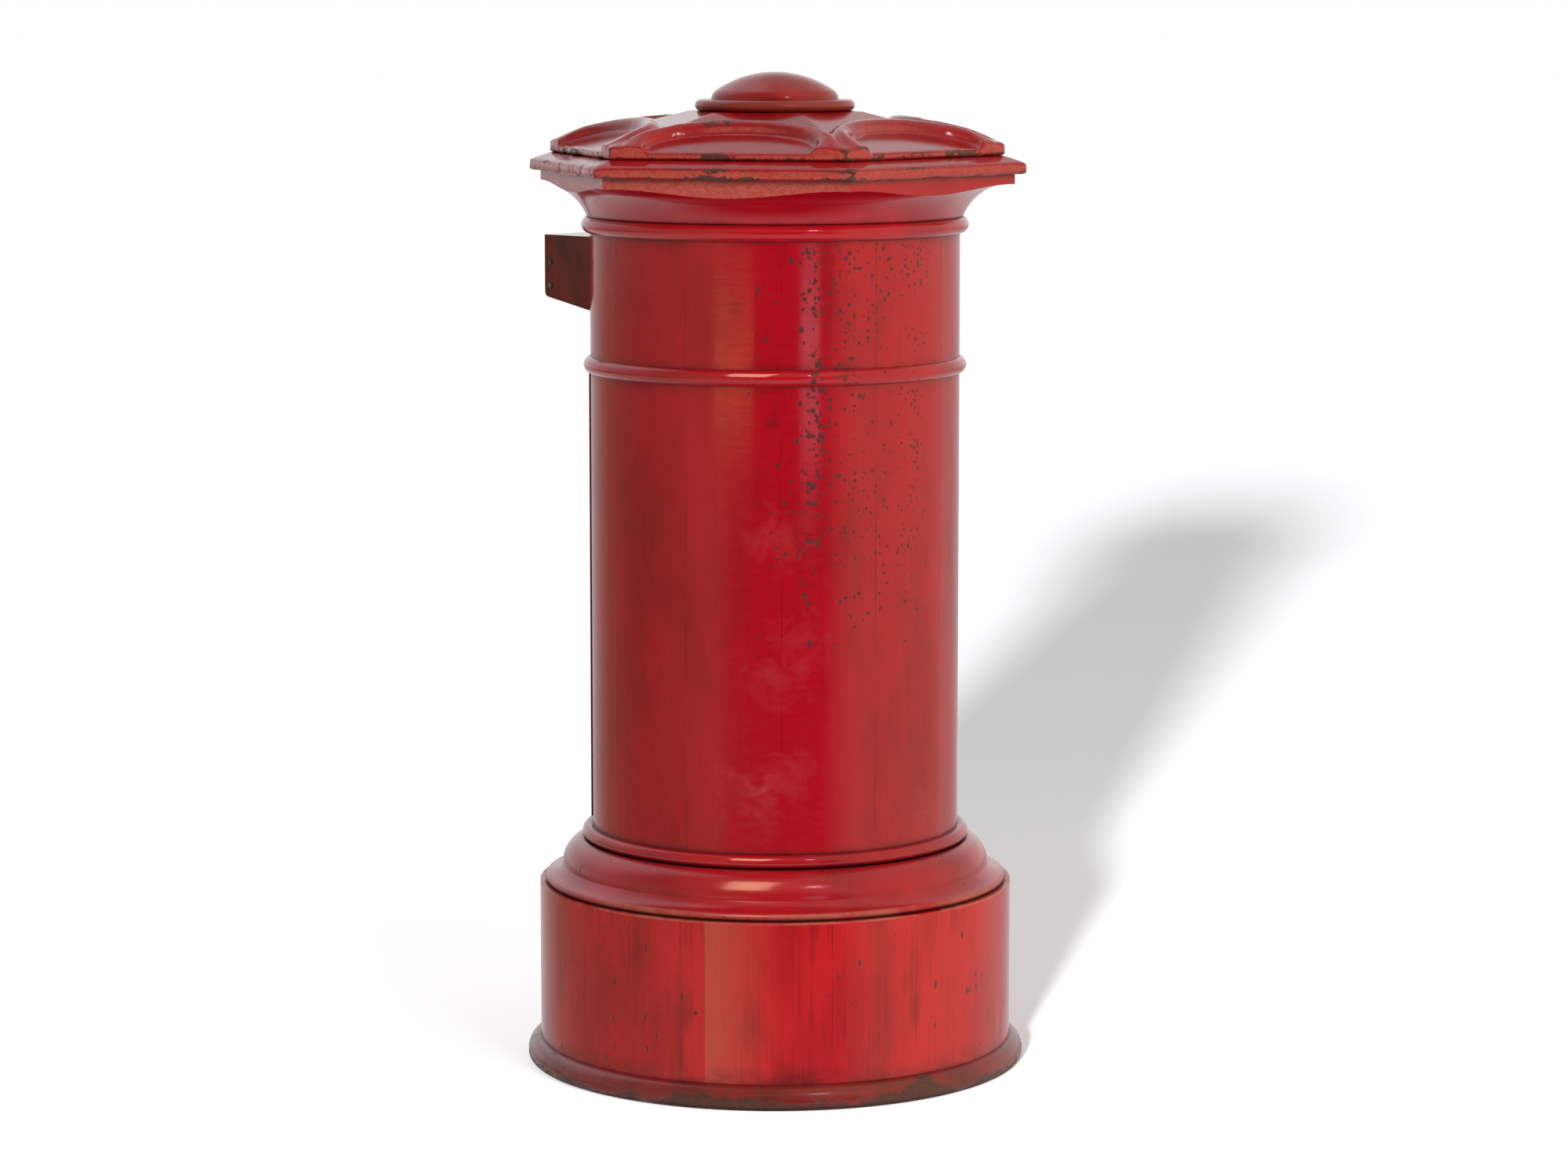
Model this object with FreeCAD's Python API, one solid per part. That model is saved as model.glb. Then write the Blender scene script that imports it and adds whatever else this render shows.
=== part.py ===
"""Free-standing wooden pillar letter box: coopered plinth and drum, carved six-sided cap, boxed posting
mouth and a coopered door with butt hinges and a small rim lock.

Millimetres. +Z is up, the origin is on the pillar's axis at the floor, and the mouth and door face -Y.
Angles are in degrees, counter-clockwise from +X seen from above.
"""
import FreeCAD
import Part
import math
import os

Vector = FreeCAD.Vector
UP = Vector(0, 0, 1)
ORIGIN = Vector(0, 0, 0)

# Foot board
FOOT_OUT = 9.7
FOOT_UNDERCUT = 3.4
FOOT_H = 18.0
FOOT_NOSE_H = 5.5

# Plinth staves and the ogee moulding on top of them
PLINTH_R = 180.4
PLINTH_WALL = 16.0
PLINTH_H = 120.6
PLINTH_STAVES = 12
PLINTH_SEAM_ANGLE = 26.4
OGEE_H = 33.0
OGEE_RIM = 4.3
OGEE_NOSE = 1.6
OGEE_NOSE_H = 5.6
OGEE_WAIST_SHARE = 0.574
OGEE_WAIST_H = 13.0
OGEE_COVE_SAG = 1.2
OGEE_ROUND_SAG = 4.2

# Drum staves, the boards that stop its two ends and the beads around it
DRUM_R = 139.8
DRUM_WALL = 13.0
DRUM_H = 474.4
STAVE_STEP = 30.0
DOOR_STAVES = 3
FLOOR_BOARD_H = 12.0
TOP_BOARD_H = 13.0
LOWER_BEAD_H = 10.2
LOWER_BEAD_OUT = 7.7
MIDDLE_BEAD_RISE = 356.3
MIDDLE_BEAD_H = 12.4
MIDDLE_BEAD_OUT = 5.2
UPPER_BEAD_H = 12.6
UPPER_BEAD_OUT = 6.6
GLUE_LINE = 0.1

# Cap: coved bed, weathered slab and carved roof, all six-sided with corners on the X axis
CAP_SIDES = 6
NECK_OUT = 2.3
BED_H = 32.6
BED_EDGE_H = 7.6
COVE_SAG_SHARE = 0.165
SLAB_R = 192.4
SLAB_OVERHANG = 8.9
SLAB_EDGE_H = 8.5
SLAB_WEATHER_H = 5.1
SLAB_ARRIS = 0.8
ROOF_R = 176.2
ROOF_RISER_H = 5.1
ROOF_RISE = 27.2
ROOF_FLAT_APOTHEM = 58.0
LUNETTE_W_SHARE = 0.3632
LUNETTE_H_SHARE = 0.2066
LUNETTE_LIFT_SHARE = 0.0568
RIB_W = 15.0
RIB_STILT = 0.8
RIB_FOOT_RISE = 5.0
RIB_FOOT_SLOPE = 0.447
BLOCK_RISE = 4.2
BLOCK_IN_SHARE = 0.851
FINIAL_R = 60.2
FINIAL_BEAD_H = 8.6
DOME_R = 48.0
DOME_RISE = 20.6
DOME_SHOULDER_R = 8.5
SPIGOT_R = 14.0
SPIGOT_L = 18.0

# Posting mouth: cheeks, top, front with the slot, and a chute that falls towards the drum
MOUTH_W = 160.0
MOUTH_OUT = 27.3
MOUTH_BOARD = 11.5
MOUTH_DROP = 4.8
MOUTH_FRONT_H = 47.0
MOUTH_SLOPE = 0.19
MOUTH_ROUND = 4.0
CHUTE_T = 10.0
SLOT_W = 116.0
SLOT_H = 14.0
SLOT_BELOW_TOP = 10.5
APERTURE_W = 118.0
APERTURE_H = 27.0
NAIL_R = 0.9
NAIL_HEAD_R = 2.2
NAIL_HEAD_T = 0.7
NAIL_L = 26.0
NAILS_PER_CORNER = 2

# Door: staves between two seams of the drum, curved ledges behind them
DOOR_GAP = 0.8
DOOR_PROUD = 1.2
DOOR_SILL_H = 14.0
LEDGE_T = 12.0
LEDGE_H = 32.0
LEDGE_INSET = 46.0
LEDGE_END_ANGLE = 8.0
STOP_T = 8.0
STOP_W = 17.0
STOP_LAP = 5.0
STOP_L = 110.0
STOP_CLEARANCE = 0.4

# Butt hinges
HINGE_L = 60.0
HINGE_INSET = 70.0
LEAF_W = 16.0
LEAF_T = 1.6
KNUCKLE_R = 3.4
KNUCKLE_STAND = 0.4
KNUCKLES = 3
KNUCKLE_GAP = 0.3
PIN_R = 1.5
PIN_FIT = 0.05
PIN_HEAD_R = 2.7
PIN_HEAD_H = 1.6

# Countersunk wood screws
SCREW_R = 1.4
SCREW_HEAD_R = 2.7
SCREW_HEAD_H = 1.3
SCREW_L = 11.0
SCREW_FIT = 0.05
LEAF_SCREWS = 3
LEAF_SCREW_STEP = 20.0
LEAF_SCREW_INSET = 5.0
LEDGE_SCREW_L = 20.0

# Rim lock on the inside of the door and its keep on the drum
LOCK_W = 38.0
LOCK_H = 58.0
LOCK_T = 13.0
LOCK_RISE = 168.0
LOCK_EDGE = 3.2
LOCK_SCREW_INSET = 5.5
BOLT_H = 12.0
BOLT_T = 5.0
BOLT_L = 30.0
BOLT_FIT = 0.3
BOLT_THROW = 10.0
KEEP_T = 3.0
KEEP_MARGIN = 8.0
KEEP_H = 34.0
KEEP_EDGE = 1.0
KEEP_CLEARANCE = 0.4
KEYHOLE_R = 3.0
KEYHOLE_SLOT_W = 2.8
KEYHOLE_SLOT_L = 9.0
KEYHOLE_DROP = 9.0
LINER_WALL = 1.3
LINER_DEPTH = 5.0

# Levels and radii that follow from the sizes above
FRONT_ANGLE = -90.0
FOOT_R = PLINTH_R + FOOT_OUT
FOOT_SEAT_R = FOOT_R - FOOT_UNDERCUT
OGEE_WAIST_R = DRUM_R + OGEE_WAIST_SHARE * (PLINTH_R - DRUM_R)
NECK_R = DRUM_R + NECK_OUT
BED_R = SLAB_R - SLAB_OVERHANG
MOUTH_REACH = DRUM_R + MOUTH_OUT
PLINTH_TOP = FOOT_H + PLINTH_H
DRUM_BASE = PLINTH_TOP + OGEE_H
DRUM_TOP = DRUM_BASE + DRUM_H
DRUM_IN = DRUM_R - DRUM_WALL
MIDDLE_BEAD_Z = DRUM_BASE + MIDDLE_BEAD_RISE
UPPER_BEAD_Z = DRUM_TOP - UPPER_BEAD_H
BED_TOP = DRUM_TOP + BED_H
SLAB_TOP = BED_TOP + SLAB_EDGE_H + SLAB_WEATHER_H
ROOF_EAVE = ROOF_R * math.cos(math.pi / CAP_SIDES)
ROOF_PITCH = math.atan2(ROOF_RISE, ROOF_EAVE - ROOF_FLAT_APOTHEM)
ROOF_TOP = SLAB_TOP + ROOF_RISER_H + ROOF_RISE
LUNETTE_HALF_W = LUNETTE_W_SHARE * ROOF_R
LUNETTE_HALF_H = LUNETTE_H_SHARE * ROOF_R
LUNETTE_LIFT = LUNETTE_LIFT_SHARE * ROOF_R
BLOCK_IN_R = BLOCK_IN_SHARE * ROOF_R
MOUTH_TOP = UPPER_BEAD_Z - MOUTH_DROP
HALF_MOUTH_IN = MOUTH_W / 2 - MOUTH_BOARD
HALF_DOOR = DOOR_STAVES * STAVE_STEP / 2
HINGE_SEAM = FRONT_ANGLE - HALF_DOOR
LOCK_SEAM = FRONT_ANGLE + HALF_DOOR
DOOR_R = DRUM_R + DOOR_PROUD
SILL_TOP = DRUM_BASE + DOOR_SILL_H
DOOR_BOTTOM = SILL_TOP + DOOR_GAP
DOOR_TOP = MIDDLE_BEAD_Z - DOOR_GAP
GAP_ANGLE = math.degrees(DOOR_GAP / DRUM_R)
HINGE_AXIS_R = DOOR_R + KNUCKLE_R + KNUCKLE_STAND
HINGE_AXIS_T = DOOR_GAP / 2
LOCK_ANGLE = LOCK_SEAM - GAP_ANGLE - math.degrees(math.asin((LOCK_W / 2 + LOCK_EDGE) / DRUM_IN))
LOCK_Z = DOOR_BOTTOM + LOCK_RISE
REACH_ALL = 4 * MOUTH_REACH


def polar(radius, angle, z=0.0):
    """Point at a radius and an angle in degrees."""
    turn = math.radians(angle)
    return Vector(radius * math.cos(turn), radius * math.sin(turn), z)


def turned_about_axis(shape, angle):
    """Copy of a shape turned about the pillar's axis."""
    copy = shape.copy()
    copy.rotate(ORIGIN, UP, angle)
    return copy


def box(x_span, y_span, z_span):
    """Box between two corners given as spans."""
    size = [span[1] - span[0] for span in (x_span, y_span, z_span)]
    return Part.makeBox(size[0], size[1], size[2], Vector(x_span[0], y_span[0], z_span[0]))


def cylinder(radius, z_span, x=0.0, y=0.0):
    """Upright cylinder."""
    return Part.makeCylinder(radius, z_span[1] - z_span[0], Vector(x, y, z_span[0]))


def line(start, end):
    """Straight edge between two points in the X-Z plane."""
    return Part.LineSegment(Vector(start[0], 0, start[1]), Vector(end[0], 0, end[1])).toShape()


def arc(start, end, sag):
    """Arc edge in the X-Z plane that bulges by sag to the left of the way from start to end."""
    run = Vector(end[0] - start[0], 0, end[1] - start[1])
    left = Vector(-run.z, 0, run.x).normalize()
    middle = Vector((start[0] + end[0]) / 2, 0, (start[1] + end[1]) / 2) + left * sag
    return Part.Arc(Vector(start[0], 0, start[1]), middle, Vector(end[0], 0, end[1])).toShape()


def revolve(edges):
    """Solid turned from a closed profile of X-Z edges."""
    face = Part.Face(Part.Wire(edges))
    return face.revolve(ORIGIN, UP, 360)


def ring_sector(r_in, r_out, start, end, z_span):
    """Part of a ring between two angles, such as a stave."""
    middle = (start + end) / 2
    edges = [
        Part.Arc(polar(r_out, start), polar(r_out, middle), polar(r_out, end)).toShape(),
        Part.LineSegment(polar(r_out, end), polar(r_in, end)).toShape(),
        Part.Arc(polar(r_in, end), polar(r_in, middle), polar(r_in, start)).toShape(),
        Part.LineSegment(polar(r_in, start), polar(r_out, start)).toShape(),
    ]
    solid = Part.Face(Part.Wire(edges)).extrude(UP * (z_span[1] - z_span[0]))
    solid.translate(UP * z_span[0])
    return solid


def hexagon_points(corner_r, z):
    """Corners of the cap's polygon at one level."""
    step = 360.0 / CAP_SIDES
    return [polar(corner_r, step * index, z) for index in range(CAP_SIDES)]


def hex_stack(levels):
    """Solid with flat sides through polygons given as (corner radius, level), from the bottom up."""
    rings = [hexagon_points(corner_r, z) for corner_r, z in levels]
    faces = []
    for ring in (rings[0], rings[-1]):
        faces.append(Part.Face(Part.makePolygon(ring + [ring[0]])))
    for low, high in zip(rings, rings[1:]):
        for index in range(CAP_SIDES):
            after = (index + 1) % CAP_SIDES
            corners = [low[index], low[after], high[after], high[index], low[index]]
            faces.append(Part.Face(Part.makePolygon(corners)))
    solid = Part.makeSolid(Part.makeShell(faces))
    if solid.Volume < 0:
        solid.reverse()
    return solid


def corner_radius(apothem):
    """Corner radius of a cap polygon from the distance to the middle of its sides."""
    return apothem / math.cos(math.pi / CAP_SIDES)


def screw(length, fit=0.0):
    """Countersunk screw along -Z with the face of its head at the origin, or its hole with a fit."""
    shank = SCREW_R + fit
    head = SCREW_HEAD_R + fit
    tip = -length - fit
    rim = [line((head, SCREW_HEAD_H), (head, 0))] if fit else []
    top = SCREW_HEAD_H if fit else 0.0
    edges = [line((0, top), (head, top))] + rim + [
        line((head, 0), (shank, -SCREW_HEAD_H - fit)),
        line((shank, -SCREW_HEAD_H - fit), (shank, tip)),
        line((shank, tip), (0, tip)),
        line((0, tip), (0, top)),
    ]
    return revolve(edges)


def aimed(shape, place, direction):
    """Shape made along +Z at the origin, moved to a place and turned to a direction."""
    copy = shape.copy()
    copy.Placement = FreeCAD.Placement(place, FreeCAD.Rotation(UP, direction))
    return copy


def screws_at(places, length, fit=0.0):
    """Screws, or their holes, at (place, direction the head faces) pairs."""
    return [aimed(screw(length, fit), place, direction) for place, direction in places]


def group(shapes):
    """Several separate solids, or one, as one shape."""
    return shapes[0] if len(shapes) == 1 else Part.makeCompound(shapes)


def join(shapes):
    """Touching solids as one solid with no leftover edges."""
    return shapes[0].multiFuse(shapes[1:]).removeSplitter()


def foot_board():
    """Turned board with a rounded nose that everything stands on."""
    seat = (FOOT_SEAT_R, 0.0)
    nose = (FOOT_R, FOOT_NOSE_H)
    shoulder = (PLINTH_R, FOOT_H)
    under_sag = -(FOOT_R - FOOT_SEAT_R) / 3
    over_sag = -(FOOT_R - PLINTH_R) / 3
    edges = [
        line((0, 0), seat),
        arc(seat, nose, under_sag),
        arc(nose, shoulder, over_sag),
        line(shoulder, (0, FOOT_H)),
        line((0, FOOT_H), (0, 0)),
    ]
    return revolve(edges)


def plinth_stave(index):
    """One of the plinth's staves."""
    step = 360.0 / PLINTH_STAVES
    start = PLINTH_SEAM_ANGLE + step * index
    return ring_sector(PLINTH_R - PLINTH_WALL, PLINTH_R, start, start + step, (FOOT_H, PLINTH_TOP))


def plinth_moulding():
    """Turned board with an ogee edge: round nose, flick and round, from the plinth up to the drum."""
    spring = PLINTH_R - OGEE_RIM - OGEE_NOSE
    rim = (spring, PLINTH_TOP)
    nose_top = (spring, PLINTH_TOP + OGEE_NOSE_H)
    waist = (OGEE_WAIST_R, PLINTH_TOP + OGEE_WAIST_H)
    top = (DRUM_R + LOWER_BEAD_OUT, DRUM_BASE)
    edges = [
        line((0, PLINTH_TOP), rim),
        arc(rim, nose_top, -OGEE_NOSE),
        arc(nose_top, waist, OGEE_COVE_SAG),
        arc(waist, top, -OGEE_ROUND_SAG),
        line(top, (0, DRUM_BASE)),
        line((0, DRUM_BASE), (0, PLINTH_TOP)),
    ]
    return revolve(edges)


def bead(z, height, out):
    """Round-nosed bead bent round the drum."""
    inner = DRUM_R + GLUE_LINE
    nose = min(out - 2 * GLUE_LINE, height / 2)
    spring = DRUM_R + out - nose
    low = (spring, z)
    high = (spring, z + height)
    edges = [
        line((inner, z), low),
        arc(low, high, -nose),
        line(high, (inner, z + height)),
        line((inner, z + height), (inner, z)),
    ]
    return revolve(edges)


def end_board(z, thickness):
    """Round board inside the drum that its staves are fixed to."""
    return cylinder(DRUM_IN - GLUE_LINE, (z, z + thickness))


def drum_sector(first, count, r_out, z_span):
    """Staves between two seams, counted counter-clockwise from the lock side of the door."""
    start = LOCK_SEAM + STAVE_STEP * first
    return ring_sector(DRUM_IN, r_out, start, start + STAVE_STEP * count, z_span)


def aperture():
    """Space cut through the drum behind the mouth."""
    half = APERTURE_W / 2
    low = mouth_bottom(-DRUM_R) + CHUTE_T
    return box((-half, half), (-REACH_ALL, 0), (low, low + APERTURE_H))


def mouth_bottom(y):
    """Level of the mouth's sloping underside."""
    return MOUTH_TOP - MOUTH_FRONT_H - MOUTH_SLOPE * (MOUTH_REACH + y)


def side_profile(points):
    """Face in the Y-Z plane at X = 0."""
    corners = [Vector(0, y, z) for y, z in points]
    return Part.Face(Part.makePolygon(corners + [corners[0]]))


def against_drum(shape):
    """Shape trimmed to the drum's round face."""
    return shape.cut(cylinder(DRUM_R + GLUE_LINE, (0, DRUM_TOP + BED_H)))


def mouth_cheek(side):
    """Side board of the mouth, on the +X side for side 1 and the -X side for side -1."""
    back = 0.0
    face = side_profile([
        (-MOUTH_REACH, mouth_bottom(-MOUTH_REACH)),
        (back, mouth_bottom(back)),
        (back, MOUTH_TOP),
        (-MOUTH_REACH, MOUTH_TOP),
    ])
    board = face.extrude(Vector(MOUTH_BOARD, 0, 0))
    low_front = [edge for edge in board.Edges if is_low_front(edge)]
    board = board.makeFillet(MOUTH_ROUND, low_front)
    board.translate(Vector(HALF_MOUTH_IN if side > 0 else -MOUTH_W / 2, 0, 0))
    return against_drum(board)


def is_low_front(edge):
    """True for the edge along X at the foot of a mouth board's front."""
    middle = edge.CenterOfMass
    low = mouth_bottom(-MOUTH_REACH)
    return abs(middle.y + MOUTH_REACH) < GLUE_LINE and abs(middle.z - low) < GLUE_LINE


def mouth_top():
    """Top board of the mouth, between the cheeks."""
    half = HALF_MOUTH_IN
    return against_drum(box((-half, half), (-MOUTH_REACH, 0), (MOUTH_TOP - MOUTH_BOARD, MOUTH_TOP)))


def mouth_front():
    """Front board of the mouth with the posting slot."""
    back = MOUTH_BOARD - MOUTH_REACH
    top = MOUTH_TOP - MOUTH_BOARD
    face = side_profile([
        (-MOUTH_REACH, mouth_bottom(-MOUTH_REACH)),
        (back, mouth_bottom(back)),
        (back, top),
        (-MOUTH_REACH, top),
    ])
    board = face.extrude(Vector(2 * HALF_MOUTH_IN, 0, 0))
    low_front = [edge for edge in board.Edges if is_low_front(edge)]
    board = board.makeFillet(MOUTH_ROUND, low_front)
    board.translate(Vector(-HALF_MOUTH_IN, 0, 0))
    slot_top = top - SLOT_BELOW_TOP
    half = SLOT_W / 2
    slot = box((-half, half), (-REACH_ALL, 0), (slot_top - SLOT_H, slot_top))
    return board.cut(slot)


def mouth_chute():
    """Sloping bottom board of the mouth, down which letters slide into the drum."""
    front = MOUTH_BOARD - MOUTH_REACH
    back = 0.0
    face = side_profile([
        (front, mouth_bottom(front)),
        (back, mouth_bottom(back)),
        (back, mouth_bottom(back) + CHUTE_T),
        (front, mouth_bottom(front) + CHUTE_T),
    ])
    board = face.extrude(Vector(2 * HALF_MOUTH_IN, 0, 0))
    board.translate(Vector(-HALF_MOUTH_IN, 0, 0))
    return against_drum(board)


def nail(fit=0.0):
    """Round-headed nail along -Z with the underside of its head at the origin."""
    shank = cylinder(NAIL_R + fit, (-NAIL_L - fit, NAIL_HEAD_T))
    head = cylinder(NAIL_HEAD_R, (0, NAIL_HEAD_T))
    return shank if fit else shank.fuse(head).removeSplitter()


def mouth_nails(fit=0.0):
    """Nails through both cheeks into the ends of the front board, or their holes."""
    front_middle = -MOUTH_REACH + MOUTH_BOARD / 2
    top = MOUTH_TOP - MOUTH_BOARD
    low = mouth_bottom(front_middle)
    nails = []
    for side in (1, -1):
        for index in range(NAILS_PER_CORNER):
            share = (index + 0.5) / NAILS_PER_CORNER
            place = Vector(side * MOUTH_W / 2, front_middle, low + (top - low) * share)
            nails.append(aimed(nail(fit), place, Vector(side, 0, 0)))
    return nails


def in_seam_frame(shape, seam):
    """Shape drawn with X along the radius and Y across the seam, turned to that seam."""
    return turned_about_axis(shape, seam)


def hinge_centres():
    """Levels of the middles of the two hinges."""
    return [DOOR_BOTTOM + HINGE_INSET, DOOR_TOP - HINGE_INSET]


def knuckle_span(index, z):
    """Level span of one knuckle of the hinge whose middle is at z."""
    each = HINGE_L / KNUCKLES
    low = z - HINGE_L / 2 + each * index
    return low + KNUCKLE_GAP / 2, low + each - KNUCKLE_GAP / 2


def leaf(z, on_door):
    """Hinge leaf let into the edge of the door or of the drum, with its own knuckles."""
    across = (DOOR_GAP, DOOR_GAP + LEAF_T) if on_door else (-LEAF_T, 0.0)
    span = (z - HINGE_L / 2, z + HINGE_L / 2)
    shape = box((HINGE_AXIS_R - LEAF_W, HINGE_AXIS_R), across, span)
    own = []
    for index in range(KNUCKLES):
        is_door_knuckle = index % 2 == 1
        if is_door_knuckle == on_door:
            own.append(cylinder(KNUCKLE_R, knuckle_span(index, z), HINGE_AXIS_R, HINGE_AXIS_T))
        else:
            low, high = knuckle_span(index, z)
            clear = (low - KNUCKLE_GAP, high + KNUCKLE_GAP)
            shape = shape.cut(cylinder(KNUCKLE_R + KNUCKLE_GAP, clear, HINGE_AXIS_R, HINGE_AXIS_T))
    shape = join([shape] + own)
    shape = shape.cut(cylinder(PIN_R + PIN_FIT, (span[0] - 1, span[1] + 1), HINGE_AXIS_R, HINGE_AXIS_T))
    for hole in screws_at(leaf_screw_places(z, on_door), SCREW_L, SCREW_FIT):
        shape = shape.cut(hole)
    return in_seam_frame(shape, HINGE_SEAM)


def leaf_screw_places(z, on_door):
    """Head places and directions of a leaf's screws, in the hinge seam's frame."""
    facing = Vector(0, -1, 0) if on_door else Vector(0, 1, 0)
    across = DOOR_GAP if on_door else 0.0
    radius = HINGE_AXIS_R - LEAF_W + LEAF_SCREW_INSET
    first = z - LEAF_SCREW_STEP * (LEAF_SCREWS - 1) / 2
    return [(Vector(radius, across, first + LEAF_SCREW_STEP * index), facing) for index in range(LEAF_SCREWS)]


def hinge_screws(on_door, fit=0.0):
    """All screws of the two leaves on one side, or their holes."""
    shapes = []
    for z in hinge_centres():
        shapes += screws_at(leaf_screw_places(z, on_door), SCREW_L, fit)
    return [in_seam_frame(shape, HINGE_SEAM) for shape in shapes]


def hinge_pins():
    """Two headed pins that rest on the tops of the hinges."""
    pins = []
    for z in hinge_centres():
        top = z + HINGE_L / 2
        shank = cylinder(PIN_R, (z - HINGE_L / 2, top + PIN_HEAD_H), HINGE_AXIS_R, HINGE_AXIS_T)
        head = cylinder(PIN_HEAD_R, (top, top + PIN_HEAD_H), HINGE_AXIS_R, HINGE_AXIS_T)
        pins.append(in_seam_frame(shank.fuse(head).removeSplitter(), HINGE_SEAM))
    return group(pins)


def leaf_pockets(on_door):
    """Recesses for the leaves in the edge of the door or of the drum."""
    across = (-DOOR_GAP, DOOR_GAP + LEAF_T) if on_door else (-LEAF_T, DOOR_GAP)
    radii = (HINGE_AXIS_R - LEAF_W, HINGE_AXIS_R)
    pockets = []
    for z in hinge_centres():
        pocket = box(radii, across, (z - HINGE_L / 2, z + HINGE_L / 2))
        pockets.append(in_seam_frame(pocket, HINGE_SEAM))
    return pockets


def in_lock_frame(shape):
    """Shape drawn with X along the lock's radius and Y towards the door's free edge, turned to the lock."""
    return turned_about_axis(shape, LOCK_ANGLE)


def keyhole(grow, x_span):
    """Keyhole, round above and slotted below, as a solid along X in the lock's frame."""
    z = LOCK_Z - KEYHOLE_DROP
    length = x_span[1] - x_span[0]
    eye = Part.makeCylinder(KEYHOLE_R + grow, length, Vector(x_span[0], 0, z), Vector(1, 0, 0))
    half = KEYHOLE_SLOT_W / 2 + grow
    slot = box(x_span, (-half, half), (z - KEYHOLE_SLOT_L - grow, z))
    return join([eye, slot])


def bolt_span():
    """Radial span of the lock bolt, just inside the face of the keep."""
    outer = keep_face() - KEEP_CLEARANCE
    return outer - BOLT_T, outer


def keep_corner():
    """Place of the drum's inner arris beside the door's free edge, in the lock's frame."""
    return polar(DRUM_IN, LOCK_SEAM - LOCK_ANGLE)


def keep_face():
    """Distance of the keep's inner face from the axis, in the lock's frame."""
    return keep_corner().x - KEEP_T


def lock_case():
    """Case screwed to the flat inside the door, open at the edge where the bolt comes out."""
    half = LOCK_W / 2
    levels = (LOCK_Z - LOCK_H / 2, LOCK_Z + LOCK_H / 2)
    case = box((DRUM_IN - LOCK_T, DRUM_IN), (-half, half), levels)
    low, high = bolt_span()
    channel_levels = (LOCK_Z - BOLT_H / 2 - BOLT_FIT, LOCK_Z + BOLT_H / 2 + BOLT_FIT)
    channel = box((low - BOLT_FIT, high + BOLT_FIT), (half - BOLT_L - BOLT_FIT, REACH_ALL), channel_levels)
    case = case.cut(channel).cut(keyhole(0.0, (high, DRUM_R)))
    for hole in screws_at(lock_screw_places(), LOCK_T + SCREW_L / 2, SCREW_FIT):
        case = case.cut(hole)
    return in_lock_frame(case)


def lock_screw_places():
    """Head places and directions of the lock's four screws, in the lock's frame."""
    across = LOCK_W / 2 - LOCK_SCREW_INSET
    along = LOCK_H / 2 - LOCK_SCREW_INSET
    places = []
    for side in (-1, 1):
        for level in (-1, 1):
            place = Vector(DRUM_IN - LOCK_T, side * across, LOCK_Z + level * along)
            places.append((place, Vector(-1, 0, 0)))
    return places


def lock_bolt():
    """Square bolt, drawn back flush with the edge of its case."""
    low, high = bolt_span()
    half = LOCK_W / 2
    return in_lock_frame(box((low, high), (half - BOLT_L, half), (LOCK_Z - BOLT_H / 2, LOCK_Z + BOLT_H / 2)))


def keep_span():
    """Span of the keep plate across the lock's frame."""
    return keep_corner().y + KEEP_EDGE, LOCK_W / 2 + BOLT_THROW + KEEP_MARGIN


def keep_plate():
    """Plate let into the drum that the bolt slides behind."""
    low, high = keep_span()
    plate = box((keep_face(), keep_face() + KEEP_T), (low, high), (LOCK_Z - KEEP_H / 2, LOCK_Z + KEEP_H / 2))
    for hole in screws_at(keep_screw_places(), SCREW_L, SCREW_FIT):
        plate = plate.cut(hole)
    return in_lock_frame(plate)


def keep_pocket():
    """Flat cut in the drum's inner face that the keep lies in."""
    low, high = keep_span()
    pocket = box((0, keep_face() + KEEP_T), (low - GLUE_LINE, high + GLUE_LINE),
                 (LOCK_Z - KEEP_H / 2 - GLUE_LINE, LOCK_Z + KEEP_H / 2 + GLUE_LINE))
    return in_lock_frame(pocket)


def keep_screw_places():
    """Head places and directions of the keep's two screws, clear of the bolt, in the lock's frame."""
    low, high = keep_span()
    along = (KEEP_H / 2 + BOLT_H / 2) / 2
    middle = (low + high) / 2
    return [(Vector(keep_face(), middle, LOCK_Z + side * along), Vector(-1, 0, 0)) for side in (-1, 1)]


def keyhole_liner():
    """Metal liner let into the face of the door round the keyhole."""
    span = (DOOR_R - LINER_DEPTH, DOOR_R)
    return in_lock_frame(keyhole(LINER_WALL, span).cut(keyhole(0.0, span)))


def lock_cuts():
    """What the lock takes out of the door's stave: its flat, keyhole, liner and screw holes."""
    half = LOCK_W / 2 + GLUE_LINE
    levels = (LOCK_Z - LOCK_H / 2 - GLUE_LINE, LOCK_Z + LOCK_H / 2 + GLUE_LINE)
    flat = box((0, DRUM_IN), (-half, half), levels)
    through = keyhole(0.0, (0, REACH_ALL))
    pocket = keyhole(LINER_WALL + GLUE_LINE, (DOOR_R - LINER_DEPTH, REACH_ALL))
    holes = screws_at(lock_screw_places(), LOCK_T + SCREW_L / 2, SCREW_FIT)
    return [in_lock_frame(shape) for shape in [flat, through, pocket] + holes]


def ledge_levels():
    """Level spans of the two ledges behind the door."""
    low = DOOR_BOTTOM + LEDGE_INSET
    high = DOOR_TOP - LEDGE_INSET - LEDGE_H
    return [(low, low + LEDGE_H), (high, high + LEDGE_H)]


def ledge(levels):
    """Curved ledge that holds the door's staves together."""
    radii = (DRUM_IN - GLUE_LINE - LEDGE_T, DRUM_IN - GLUE_LINE)
    shape = ring_sector(radii[0], radii[1], HINGE_SEAM + LEDGE_END_ANGLE, LOCK_SEAM - LEDGE_END_ANGLE, levels)
    for hole in ledge_screws(SCREW_FIT):
        shape = shape.cut(hole)
    return shape


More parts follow.
